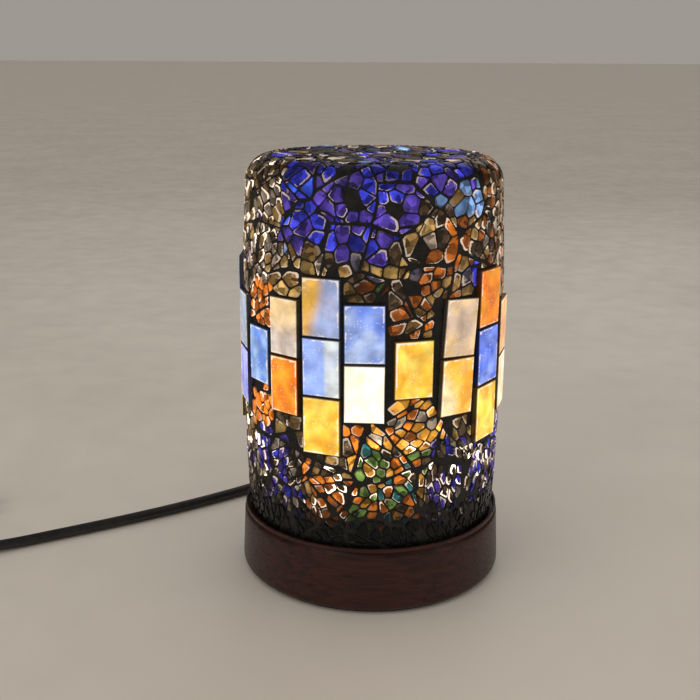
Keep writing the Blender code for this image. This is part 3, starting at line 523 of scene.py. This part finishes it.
def frosted_bulb_material():
    """A lit pearl bulb, whose glow drifts a little over the glass."""
    mat, tree, shader = surface("lit_bulb", Roughness=0.25, Emission_Strength=1.6)
    haze = pattern(tree, "ShaderNodeTexNoise", 60.0, 2.0)
    glow = mixed(tree, remap(tree, haze, 0.3, 0.7, 0.0, 1.0), (1.0, 0.72, 0.38), (1.0, 0.8, 0.5))
    tree.links.new(glow, shader.inputs["Emission Color"])
    shader.inputs["Base Color"].default_value = (0.9, 0.85, 0.75, 1.0)
    return mat


# ---------------------------------------------------------------- the shade's surface

def shade_radius(z):
    """The side's radius at a height; it swells a little round the middle."""
    for (z0, r0), (z1, r1) in zip(SHADE_RADII, SHADE_RADII[1:]):
        if z <= z1:
            share = max(0.0, (z - z0) / (z1 - z0))
            return r0 + (r1 - r0) * share
    return SHADE_RADII[-1][1]


def on_shade(angle, along, depth):
    """A point at an angle from the front and a length along the outline, some depth under the face."""
    if along <= SHOULDER_Z:
        slope = 0.0
        r, z = shade_radius(along), along
    elif along <= SHOULDER_Z + SHOULDER_ARC:
        slope = (along - SHOULDER_Z) / SHOULDER_R
        r, z = FLAT_R + SHOULDER_R * cos(slope), SHOULDER_Z + SHOULDER_R * sin(slope)
    else:
        slope = pi / 2
        r, z = OUTLINE_TOP - along, LAMP_HEIGHT
    r -= depth * cos(slope)
    z -= depth * sin(slope)
    return Vector((r * sin(angle), -r * cos(angle), z))


def side_point(x, y, depth):
    """A place on the side and the shoulder: x runs round the shade from the front, y up its outline."""
    return on_shade(x / UNROLL_R, y, depth)


def crown_point(x, y, depth):
    """A place on the closed top, from its plan position."""
    return on_shade(atan2(x, -y), OUTLINE_TOP - hypot(x, y), depth)


# ---------------------------------------------------------------- flat polygons

def clip(poly, nx, ny, limit):
    """The part of a convex polygon where nx * x + ny * y is at most the limit."""
    kept = []
    for i, (x, y) in enumerate(poly):
        px, py = poly[i - 1]
        before = nx * px + ny * py - limit
        here = nx * x + ny * y - limit
        if (before < 0.0) != (here < 0.0):
            share = before / (before - here)
            kept.append((px + (x - px) * share, py + (y - py) * share))
        if here < 0.0:
            kept.append((x, y))
    return kept


def area(poly):
    """Positive where the outline runs counter-clockwise."""
    return sum(poly[i - 1][0] * y - x * poly[i - 1][1] for i, (x, y) in enumerate(poly)) / 2


def middle(poly):
    """The mean of an outline's corners."""
    return sum(x for x, y in poly) / len(poly), sum(y for x, y in poly) / len(poly)


def narrowest(poly):
    """The lesser of the outline's width and height."""
    xs = [x for x, y in poly]
    ys = [y for x, y in poly]
    return min(max(xs) - min(xs), max(ys) - min(ys))


def inset(poly, gap):
    """A convex polygon, counter-clockwise, with each side moved in by the gap."""
    result = poly
    for i, (x, y) in enumerate(poly):
        px, py = poly[i - 1]
        length = hypot(x - px, y - py)
        if length > 1e-7 and len(result) > 2:
            nx, ny = (y - py) / length, (px - x) / length
            result = clip(result, nx, ny, nx * x + ny * y - gap)
    return result


def cut_corners(poly, share):
    """Each corner becomes two, a share of a side's length away from it."""
    result = []
    for i, (x, y) in enumerate(poly):
        px, py = poly[i - 1]
        result.append((px + (x - px) * share, py + (y - py) * share))
        result.append((x - (x - px) * share, y - (y - py) * share))
    return result


def cells(outline_at, seeds, others):
    """For each seed, the part of the outline at its x that is nearer to it than to any other point."""
    result = []
    for sx, sy in seeds:
        poly = outline_at(sx)
        for ox, oy in sorted(others, key=lambda o: hypot(o[0] - sx, o[1] - sy)):
            dx, dy = ox - sx, oy - sy
            gap = hypot(dx, dy)
            if gap < 1e-9:
                continue
            if not poly or gap > 2.0 * max(hypot(x - sx, y - sy) for x, y in poly):
                break
            poly = clip(poly, dx / gap, dy / gap, (dx * (sx + ox) + dy * (sy + oy)) / (2 * gap))
        if len(poly) > 2:
            result.append(poly)
    return result


def scatter(low, high, spacing, tries):
    """Random points in a box that keep their distance from each other."""
    points = []
    for _ in range(tries):
        x, y = random.uniform(low[0], high[0]), random.uniform(low[1], high[1])
        if all(hypot(x - px, y - py) > spacing for px, py in points):
            points.append((x, y))
    return points


# ---------------------------------------------------------------- the mosaic's colours

def soft(value, low, high):
    """Rises smoothly from 0 to 1 as the value goes from low to high."""
    share = min(1.0, max(0.0, (value - low) / (high - low)))
    return share * share * (3 - 2 * share)


def pick(*choices):
    """One of (weight, value) pairs, by chance."""
    roll = random.uniform(0.0, sum(weight for weight, _ in choices))
    for weight, value in choices:
        roll -= weight
        if roll <= 0.0:
            return value
    return choices[-1][1]


def near_bulb(z, centre):
    """Falls off from 1 at the centre height, in millimetres, as the glass gets further from the bulb."""
    return exp(-((z - centre) / BULB_REACH) ** 2)


def crackle_grain(angle, z):
    """The size of a zone's chips, how far they are drawn out, and along which direction."""
    for (left, right), (low, high), size, stretch, directions in BREAKAGE:
        if left < angle < right and low < z < high:
            return size * MM, stretch, radians(random.uniform(*directions))


def crackle_colour(angle, z):
    """A chip's colour, its glow, and how much light its edges gather, from where it sits."""
    # painted light: a chip's glow is strongest at the bulb's height
    bulb_light = 0.75 + 0.6 * near_bulb(z, 78.0)
    # painted shade: low on the shade the glow and the glints fade out towards the foot
    if z < 80.0:
        return lower_colour(angle, bulb_light * soft(z, 40.0, 60.0))
    # amber glass under the middle tiles
    if z < 108.0 and -12.0 < angle < 32.0:
        return pick((4, AMBER), (3, ORANGE), (1, CLEAR)), 0.75 * bulb_light, 0.9
    # a rust-red streak that climbs to the right
    if abs(z - 133.0 - (angle - 14.0) * 1.3) < 16.0 and 8.0 < angle < 44.0:
        return pick((5, RUST), (2, ORANGE), (3, BRONZE), (1, GOLD)), 0.62, 0.8
    # bright orange at the left
    if -64.0 < angle < -47.0 and z < 147.0:
        return ORANGE, 1.1, 1.3
    # green and rust over the blue tile, with a weak glow
    if -14.0 < angle < 7.0 and z < 153.0:
        return pick((2, GREEN), (2, RUST), (3, BRONZE)), 0.3, 0.3
    # one cobalt piece by the right-hand column
    if 43.0 < angle < 50.0 and 148.0 < z < 160.0:
        return COBALT, 1.1, 0.3
    # a pale blue piece on the right of the shoulder
    if 37.0 < angle < 53.0 and 178.0 < z < 191.0:
        return PALE_BLUE, 0.75, 0.8
    return upper_colour(angle, z)


def upper_colour(angle, z):
    """Blue over gold in the middle, clear glass at the left and smoky glass at the right."""
    drift = 5.0 * noise.noise(Vector((angle * 0.07, z * 0.02, 3.0)))
    # painted shade: towards the shoulder three chips in four lose most of their glow and glints
    dim = 1.0 - 0.7 * soft(z, 187.0, 198.0) * pick((3, 1.0), (1, 0.0))
    blue_from = 168.0 + drift + 19.0 * soft(angle, 2.0, 26.0)
    if angle < -43.0 + drift:
        violet = 1.6 if angle > -56.0 and z > 160.0 else 0.25
        choice = pick((4, CLEAR), (3, BRONZE), (2, GOLD), (violet, VIOLET), (2, SMOKE))
        return choice, 0.45 * dim, 1.7 * dim
    if angle > 49.0 + drift:
        return pick((4, SMOKE), (4, BRONZE), (3, RUST), (1, CLEAR)), 0.5 * dim, 0.9 * dim
    if z > blue_from:
        return pick((5, COBALT), (4, VIOLET), (1, BRIGHT_BLUE)), 0.68 * dim, 0.6 * dim
    if z > blue_from - 7.0:
        return pick((2, VIOLET), (3, GREY_VIOLET), (3, BRONZE), (1, PALE_BLUE), (2, SMOKE)), 0.5, 0.5
    return pick((4, BRONZE), (5, GOLD), (1, CLEAR), (0.7, GREY_VIOLET), (3, SMOKE)), 0.62, 0.8


def lower_colour(angle, bulb_light):
    """The glass round the foot, where some chips catch the bulb's full light in their edges."""
    spark = pick((2, 0.7), (1, 2.4)) * bulb_light
    for limit, choices, glow, edges in LOWER_ZONES:
        if angle < limit:
            return pick(*choices), glow * bulb_light, edges * spark


def crown_colour():
    """Chips on the closed top: most are given almost no glow, painted shade, and a few are lit."""
    glass = pick((3, BRONZE), (4, COBALT), (2, VIOLET), (1, CLEAR), (2, PALE_BLUE), (3, SMOKE))
    return glass, pick((3, 0.08), (2, 0.9)), pick((3, 0.1), (1, 0.9))


def front_angle(x):
    """The angle from the front in degrees; the back of the shade repeats the front's colours."""
    angle = (x / UNROLL_R * 180.0 / pi + 180.0) % 360.0 - 180.0
    if abs(angle) > 90.0:
        angle = (angle + 360.0) % 360.0 - 180.0
    return angle


# ---------------------------------------------------------------- chips

class GlassMesh:
    """A mesh of separate glass pieces, whose corners carry tint, rim and gleam."""

    def __init__(self):
        self.bm = bmesh.new()
        # the tint is the glass's colour already multiplied by its painted glow; rim and gleam place the
        # painted glints on its edges
        self.tint = self.bm.verts.layers.float_color.new("tint")
        self.rim = self.bm.verts.layers.float.new("rim")
        self.gleam = self.bm.verts.layers.float.new("gleam")

    def vert(self, place, colour, rim, gleam):
        """A corner, with its tint, how near an edge it is, and how brightly that edge shines."""
        vert = self.bm.verts.new(place)
        vert[self.tint] = (*colour, 1.0)
        vert[self.rim] = rim
        vert[self.gleam] = gleam
        return vert

    def place_on_shade(self, name, mat, slot, nodes):
        """Makes the object that stands on the shade for the named nodes."""
        bmesh.ops.recalc_face_normals(self.bm, faces=self.bm.faces)
        piece = add_mesh(self.bm, name, mat)
        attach(piece, "shade")
        if nodes:
            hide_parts(*nodes)


def add_chip(glass, poly, point, colour, glow, gleam):
    """A broken piece of glass: a cut edge, a narrow chamfer and a slightly domed, tilted face."""
    outline = cut_corners(poly, random.uniform(0.06, 0.17))
    cx, cy = middle(outline)
    size = sqrt(abs(area(poly)))
    lean = random.uniform(0.0, 2 * pi)
    tilt = random.uniform(0.0, 0.06)
    shading = random.uniform(0.1, 0.9)
    lit_side = random.uniform(0.0, 2 * pi)

    # painted light: each chip's glow is brighter towards one side, its rim glints only on one lit side,
    # and its cut edge and back are painted darker, as shade
    def corner(x, y, depth, rim, dim=1.0):
        dx, dy = (x - cx) / size, (y - cy) / size
        reach = dx * cos(lean) + dy * sin(lean)
        light = glow * dim * max(0.15, 1.0 + shading * reach)
        facing = min(1.0, max(0.0, 0.42 + 1.5 * (dx * cos(lit_side) + dy * sin(lit_side))))
        place = point(x, y, depth + max(-0.15 * MM, tilt * reach * size))
        return glass.vert(place, [channel * light for channel in colour], rim * facing, gleam)

    def shrunk(share):
        return [(cx + (x - cx) * share, cy + (y - cy) * share) for x, y in outline]

    chamfer = min(0.4 * MM, size * 0.1)
    back = [corner(x, y, CHIP_BACK, 0.2, 0.3) for x, y in outline]
    edge = [corner(x, y, 0.5 * MM, 0.6, 0.6) for x, y in outline]
    face = [corner(x, y, 0.2 * MM, 1.0) for x, y in shrunk(1.0 - chamfer * 2 / size)]
    inner = [corner(x, y, 0.15 * MM, 0.2) for x, y in shrunk(0.74)]
    top = corner(cx, cy, 0.1 * MM, 0.0)
    for low, high in ((back, edge), (edge, face), (face, inner)):
        band(glass.bm, low, high)
    for i in range(len(inner)):
        glass.bm.faces.new((inner[i - 1], inner[i], top))
    glass.bm.faces.new(back[::-1])


def tile_boxes():
    """Each column's place on the unrolled side, with the joint round it."""
    boxes = []
    for angle, width, bottom, colours in COLUMNS:
        x = radians(angle) * UNROLL_R
        half = width * MM / 2 + TILE_JOINT
        low = bottom * MM - TILE_JOINT
        high = bottom * MM + TILE_PITCH * len(colours) - (TILE_PITCH - TILE_HEIGHT) + TILE_JOINT
        for turn in (-ROUND, 0.0, ROUND):
            boxes.append((x - half + turn, x + half + turn, low, high))
    return boxes


def clear_of_tiles(poly, boxes):
    """The largest part of a chip that is left beside the tiles."""
    for x0, x1, y0, y1 in boxes:
        xs = [x for x, y in poly]
        ys = [y for x, y in poly]
        if not poly or max(xs) <= x0 or min(xs) >= x1 or max(ys) <= y0 or min(ys) >= y1:
            continue
        sides = [
            clip(poly, 1, 0, x0), clip(poly, -1, 0, -x1), clip(poly, 0, 1, y0), clip(poly, 0, -1, -y1)]
        poly = max(sides, key=lambda side: area(side) if len(side) > 2 else 0.0)
        if len(poly) < 3:
            return []
    return poly


def wander(poly, point):
    """The outline with its corners drifted a little, so that no crack runs quite straight."""
    result = []
    for x, y in poly:
        drift = noise.noise_vector(point(x, y, 0.0) * 75.0) * 2.0 * MM
        drift += noise.noise_vector(point(x, y, 0.0) * 240.0) * 0.7 * MM
        result.append((x + drift.x, y + drift.y))
    return result


def break_up(cluster, size, stretch, direction):
    """Cracks one large piece into chips; they are drawn out along a direction."""
    cx, cy = middle(cluster)
    across, along = (cos(direction), sin(direction)), (-sin(direction), cos(direction))

    def local(x, y):
        dx, dy = x - cx, y - cy
        return (dx * across[0] + dy * across[1]) / stretch, dx * along[0] + dy * along[1]

    def back(u, v):
        u *= stretch
        return cx + u * across[0] + v * along[0], cy + u * across[1] + v * along[1]

    outline = [local(x, y) for x, y in cluster]
    low = (min(u for u, v in outline), min(v for u, v in outline))
    high = (max(u for u, v in outline), max(v for u, v in outline))
    room = (high[0] - low[0]) * (high[1] - low[1]) / size ** 2
    seeds = scatter(low, high, size * 0.72, int(12 * room) + 8)
    return [[back(u, v) for u, v in poly] for poly in cells(lambda x: outline, seeds, seeds)]


def side_mosaic(mat):
    """The crackle glass on the side and the shoulder, in three rings that meet at the tile band."""
    boxes = tile_boxes()
    margin = 0.5 * MM
    low, high = SHADE_FOOT + margin, SEAM
    seeds = scatter((0.0, low), (ROUND, high), CLUSTER_SPACING, tries=3000)
    others = [(x + turn, y) for x, y in seeds for turn in (-ROUND, 0.0, ROUND)]
    reach = 45.0 * MM

    def outline_at(x):
        return [(x - reach, low), (x + reach, low), (x + reach, high), (x - reach, high)]

    rings = {"upper": GlassMesh(), "middle": GlassMesh(), "lower": GlassMesh()}
    for cluster in cells(outline_at, seeds, others):
        cx, cy = middle(cluster)
        piece = inset(cluster, random.uniform(0.0, 0.5) * MM)
        if len(piece) < 3:
            continue
        size, stretch, direction = crackle_grain(front_angle(cx), cy / MM)
        for chip in break_up(piece, size, stretch, direction):
            chip = wander(inset(chip, random.triangular(0.2, 0.75, 0.3) * MM), side_point)
            chip = clear_of_tiles(clip(clip(chip, 0, -1, -low), 0, 1, high), boxes)
            if len(chip) < 3 or area(chip) < SMALLEST_CHIP or random.random() < LOST_SHARE:
                continue
            x, y = middle(chip)
            if BAND_LOW < y < BAND_HIGH and narrowest(chip) < NARROWEST_IN_BAND:
                continue
            colour, glow, gleam = crackle_colour(front_angle(x), y / MM)
            glow *= random.uniform(0.55, 1.25)
            gleam *= random.choice((0.15, 0.6, 1.0, 1.4))
            ring = "upper" if y > BAND_HIGH else "lower" if y < BAND_LOW else "middle"
            add_chip(rings[ring], chip, side_point, colour, glow, gleam)
    replaced = {"upper": ["mosaic_upper"], "middle": [], "lower": ["mosaic_lower"]}
    for ring, glass in rings.items():
        glass.place_on_shade(f"crackle_{ring}", mat, "crackle_glass", replaced[ring])


def crown_mosaic(mat):
    """The crackle glass on the closed top."""
    rim = OUTLINE_TOP - SEAM - 0.1 * MM
    disc = [(rim * cos(radians(a)), rim * sin(radians(a))) for a in range(0, 360, 12)]
    glass = GlassMesh()
    seeds = scatter((-rim, -rim), (rim, rim), CLUSTER_SPACING, tries=900)
    for cluster in cells(lambda x: disc, seeds, seeds):
        piece = inset(cluster, random.uniform(0.3, 0.8) * MM)
        if len(piece) < 3:
            continue
        for chip in break_up(piece, CROWN_CHIP, 1.2, random.uniform(0.0, pi)):
            chip = inset(wander(chip, crown_point), random.uniform(0.45, 0.95) * MM)
            if len(chip) > 2 and area(chip) > SMALLEST_CHIP:
                colour, glow, gleam = crown_colour()
                add_chip(glass, chip, crown_point, colour, glow * random.uniform(0.5, 1.3), gleam)
    glass.place_on_shade("crackle_crown", mat, "crackle_glass", ["mosaic_crown"])


# ---------------------------------------------------------------- tiles

def tile_colour(name, x, z, seed):
    """The glass's colour at a place on a tile; x and z run from -1 to 1 across its face."""
    first, second = TILE_TONES[name]
    streak = noise.fractal(Vector((x * 1.1 + seed, z * 1.5, seed * 0.7)), 1.0, 2.0, 4)
    share = 0.42 + 1.1 * streak
    # clear down the right, blue to the right, grey at the foot, white to the lower left
    if name == "blue_clear":
        share = soft(x, 0.12, 0.3) * 0.95 + 0.35 * streak
    elif name == "amber_blue":
        share = soft(x - 0.35 * z, -0.65, 0.15) + 0.25 * streak
    elif name == "cream_grey":
        share = soft(z, -0.7, 0.8) + 0.35 * streak
    elif name == "amber_white":
        share = soft(-x - 0.5 * z, -0.2, 0.9) + 0.5 * streak
    share = min(1.0, max(0.0, share))
    return [a + (b - a) * share for a, b in zip(first, second)]


def add_tile(glass, name, stand, width, bulb_light, seed):
    """One pressed tile: a slightly domed face with a chamfer all round. It stands about its middle."""
    across, up = 9, 13
    front = TILE_BACK_R + TILE_THICK

    def corner(step, out, inside, rim, dim=1.0):
        u, v = 2 * step[0] / across - 1, 2 * step[1] / up - 1
        x = u * (width / 2 - (TILE_CHAMFER if inside else 0.0))
        z = v * (TILE_HEIGHT / 2 - (TILE_CHAMFER if inside else 0.0))
        sag = 0.25 * MM * (u * u + v * v) / 2 if inside else 0.0
        place = stand @ Vector((x, -(out - sag), z))
        cloud = 1.0 + 0.22 * noise.noise(Vector((u * 1.6 + seed, v * 2.2, seed)))
        colour = [channel * bulb_light * cloud * dim for channel in tile_colour(name, u, v, seed)]
        return glass.vert(place, colour, rim, bulb_light if inside else 0.0)

    border = [(i, 0) for i in range(across)] + [(across, j) for j in range(up)]
    border += [(across - i, up) for i in range(across)] + [(0, up - j) for j in range(up)]
    grid = {}
    for i in range(across + 1):
        for j in range(up + 1):
            grid[i, j] = corner((i, j), front, True, 1.0 if (i, j) in border else 0.0)
    for i in range(across):
        for j in range(up):
            glass.bm.faces.new((grid[i, j], grid[i + 1, j], grid[i + 1, j + 1], grid[i, j + 1]))
    face = [grid[step] for step in border]
    # painted shade: the chamfer's outer edge and the tile's sides carry almost none of the glow
    edge = [corner(step, front - TILE_CHAMFER, False, 0.0, 0.04) for step in border]
    back = [corner(step, TILE_BACK_R, False, 0.0, 0.02) for step in border]
    band(glass.bm, edge, face)
    band(glass.bm, back, edge)
    glass.bm.faces.new(back[::-1])


def tile_columns(mat):
    """Every column is one piece; each tile in it stands a hair out of square, and a few lean."""
    for index, (angle, width, bottom, colours) in enumerate(COLUMNS):
        glass = GlassMesh()
        facing = Matrix.Rotation(radians(angle), 4, "Z")
        for step, name in enumerate(colours):
            lean, slide = LEANING.get((index, step), (0.0, 0.0))
            tile_middle = bottom * MM + TILE_PITCH * step + TILE_HEIGHT / 2
            spin = Matrix.Rotation(radians(random.uniform(-0.7, 0.7) + lean), 4, "Y")
            slip = Matrix.Translation((random.uniform(-0.15, 0.15) * MM + slide, 0.0, tile_middle))
            # painted light: a tile glows brighter the nearer it is to the bulb's height
            bulb_light = 0.9 + 0.28 * near_bulb(tile_middle / MM, 90.0)
            clouding = index * 3.7 + step * 11.3
            add_tile(glass, name, facing @ slip @ spin, width * MM, bulb_light, clouding)
        replaced = ["mosaic_band"] if index == 0 else []
        glass.place_on_shade(f"tile_column_{index + 1:02d}", mat, "tile_glass", replaced)


def grout_ring(bm, along, depth, unevenness):
    """A ring of corners round the shade, some depth under its face."""
    steps = 220
    ring = []
    for i in range(steps):
        angle = 2 * pi * i / steps
        place = on_shade(angle, along, depth)
        lump = noise.noise(place * 260.0) if unevenness else 0.0
        ring.append(bm.verts.new(on_shade(angle, along, depth + unevenness * lump)))
    return ring


def grout_skin(mat):
    """The black grout between the pieces: a skin just under their faces, trowelled a little uneven."""
    spacing = 1.6 * MM
    lengths = [SHADE_FOOT + 0.05 * MM]
    while lengths[-1] < OUTLINE_TOP - 1.5 * MM:
        lengths.append(lengths[-1] + spacing)
    bm = bmesh.new()
    outer, inner = [], []
    for along in lengths:
        outer.append(grout_ring(bm, along, GROUT_DEPTH, 0.3 * MM))
        inner.append(grout_ring(bm, along, CHIP_BACK + 0.6 * MM, 0.0))
    for rows in (outer, inner):
        for low, high in zip(rows, rows[1:]):
            band(bm, low, high)
    band(bm, outer[0], inner[0])
    bm.faces.new(outer[-1])
    bm.faces.new(inner[-1][::-1])
    bmesh.ops.recalc_face_normals(bm, faces=bm.faces)
    skin = add_mesh(bm, "grout_skin", mat, 60.0)
    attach(skin, "shade")
    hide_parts("grout_coat")


# ---------------------------------------------------------------- base, bulb and cord set

def dress(mat, *nodes):
    """Gives CAD nodes their finished material."""
    for name in nodes:
        for material_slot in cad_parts[name].material_slots:
            material_slot.material = mat


def turned(name, profile, mat):
    """A turned solid from a closed outline of (radius, height) in millimetres."""
    steps = 128
    bm = bmesh.new()
    rows = []
    for r, z in profile:
        row = []
        for i in range(steps):
            angle = 2 * pi * i / steps
            row.append(bm.verts.new((r * MM * cos(angle), r * MM * sin(angle), z * MM)))
        rows.append(row)
    for i in range(len(rows)):
        band(bm, rows[i - 1], rows[i])
    bmesh.ops.recalc_face_normals(bm, faces=bm.faces)
    return add_mesh(bm, name, mat, 35.0)


def wooden_base(mat):
    """The turned block, with its raised lip, the groove under it and rounded arrises."""
    profile = [
        (5.2, 29.0), (60.8, 29.0), (60.8, 31.0), (60.95, 31.3), (61.2, 31.4), (61.6, 31.4),
        (61.9, 31.2), (62.0, 30.8), (62.0, 29.8), (61.85, 29.45), (61.45, 29.2), (61.3, 28.95),
        (61.5, 28.6), (62.0, 28.3), (62.3, 28.0), (62.45, 27.4), (62.6, 25.0), (62.8, 20.0),
        (63.1, 14.0), (63.4, 8.0), (63.55, 4.4), (63.5, 3.2), (63.2, 2.3), (62.7, 1.7), (62.0, 1.5),
        (54.0, 1.5), (54.0, 4.0), (48.0, 4.0), (48.0, 18.0), (5.2, 18.0),
    ]
    block = turned("turned_base", profile, mat)
    drill = add_mesh(cord_hole(), "cord_hole", mat)
    cut = block.modifiers.new("cord_hole", "BOOLEAN")
    cut.solver = "EXACT"
    cut.object = drill
    graph = bpy.context.evaluated_depsgraph_get()
    mesh = bpy.data.meshes.new_from_object(block.evaluated_get(graph))
    block.modifiers.clear()
    block.data = mesh
    bpy.data.objects.remove(drill, do_unlink=True)
    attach(block, "base")
    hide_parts("wooden_base")


def cord_hole():
    """A rod that fills the hole for the cord's boot through the back wall."""
    radius = 4.3 * MM
    length = 24.0 * MM
    turn = Matrix.Translation((0.0, 58.0 * MM, CORD_EXIT[2])) @ Matrix.Rotation(pi / 2, 4, "X")
    bm = bmesh.new()
    bmesh.ops.create_cone(
        bm, cap_ends=True, segments=32, radius1=radius, radius2=radius, depth=length, matrix=turn)
    return bm


def coil_path():
    """The wound cord: in along the bottom layer, up, and out along the top layer."""
    points = []
    total = COIL_TURNS * 2 + COIL_RISE
    count = ceil(total * POINTS_PER_TURN)
    pitch = CORD_D / MM
    for i in range(count + 1):
        turn = total * i / count
        inward = min(turn, COIL_TURNS)
        outward = max(0.0, turn - COIL_TURNS - COIL_RISE)
        rise = min(1.0, max(0.0, (turn - COIL_TURNS) / COIL_RISE))
        r = COIL_OUTER - pitch * inward + pitch * outward
        angle = 2 * pi * turn
        z = COIL_LAYERS[0] + (COIL_LAYERS[1] - COIL_LAYERS[0]) * (1 - cos(pi * rise)) / 2
        points.append((COIL_CENTRE[0] - r * cos(angle), COIL_CENTRE[1] + r * sin(angle), z))
    return points


def cord_set(pvc):
    """The one length of flex, in place of the cord's runs and coil."""
    route = LAMP_ROUTE + COIL_ROUTE[:-1] + coil_path() + PLUG_ROUTE
    line = smooth_route([Vector(p) * MM for p in route], CORD_D * 0.9)
    flex = cord_curve("flex", line, pvc)
    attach(flex, "base")
    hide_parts("cord_lamp_run", "cord_coil_run", "cord_plug_run", "cord_coil")


def fittings(pvc):
    """The hardware keeps its shape and gets its finished materials."""
    # each has a dark and a light tone, the scale of their drift, roughness, relief, and 1.0 for a metal
    steel = two_tone("zinc_steel", (0.50, 0.50, 0.52), (0.66, 0.66, 0.66), 300.0, 0.3, 0.05, 1.0)
    nickel = two_tone("nickel", (0.52, 0.51, 0.48), (0.64, 0.62, 0.58), 200.0, 0.24, 0.03, 1.0)
    brass = two_tone("brass", (0.62, 0.42, 0.16), (0.80, 0.60, 0.28), 260.0, 0.28, 0.04, 1.0)
    phenolic = two_tone("phenolic", (0.016, 0.015, 0.014), (0.030, 0.028, 0.026), 150.0, 0.38, 0.06)
    felt = two_tone("felt", (0.016, 0.016, 0.017), (0.040, 0.040, 0.042), 900.0, 0.95, 0.8)
    board = two_tone("cover_board", (0.040, 0.034, 0.028), (0.075, 0.062, 0.050), 300.0, 0.85, 0.4)
    solder = two_tone("solder", (0.42, 0.42, 0.43), (0.58, 0.58, 0.58), 500.0, 0.45, 0.2, 1.0)
    insulator = two_tone("black_glass", (0.010, 0.010, 0.011), (0.020, 0.019, 0.020), 120.0, 0.15, 0.02)
    dress(pvc, "cord_grommet", "coil_tie", "plug_body", "lead_wire_1", "lead_wire_2")
    dress(pvc, "switch_bottom", "switch_top")
    dress(nickel, "plug_pin_1", "plug_pin_2")
    dress(steel, "switch_screw_1", "switch_screw_2", "clamp_screw_1", "clamp_screw_2")
    dress(steel, "cover_screw_1", "cover_screw_2", "cover_screw_3", "filament")
    dress(steel, "threaded_nipple", "nipple_washer", "nipple_nut")
    dress(brass, "bulb_cap", "screw_shell", "centre_contact", "terminal_screw_1", "terminal_screw_2")
    dress(phenolic, "holder_body", "contact_plate", "cord_clamp", "switch_rocker")
    dress(clear_glass_material(), "glass_shade", "bulb_stem")
    dress(frosted_bulb_material(), "bulb_glass")
    dress(felt, "felt_pad")
    dress(board, "base_cover")
    dress(solder, "bulb_contact")
    dress(insulator, "bulb_insulator")


# ---------------------------------------------------------------- the whole lamp

camera()
black_pvc = two_tone("black_pvc", (0.010, 0.010, 0.011), (0.018, 0.018, 0.019), 240.0, 0.42, 0.12)
crackle_glass = crackle_material()
cord_set(black_pvc)
studio()
side_mosaic(crackle_glass)
crown_mosaic(crackle_glass)
tile_columns(tile_material())
grout_skin(grout_material())
wooden_base(wood_material())
fittings(black_pvc)
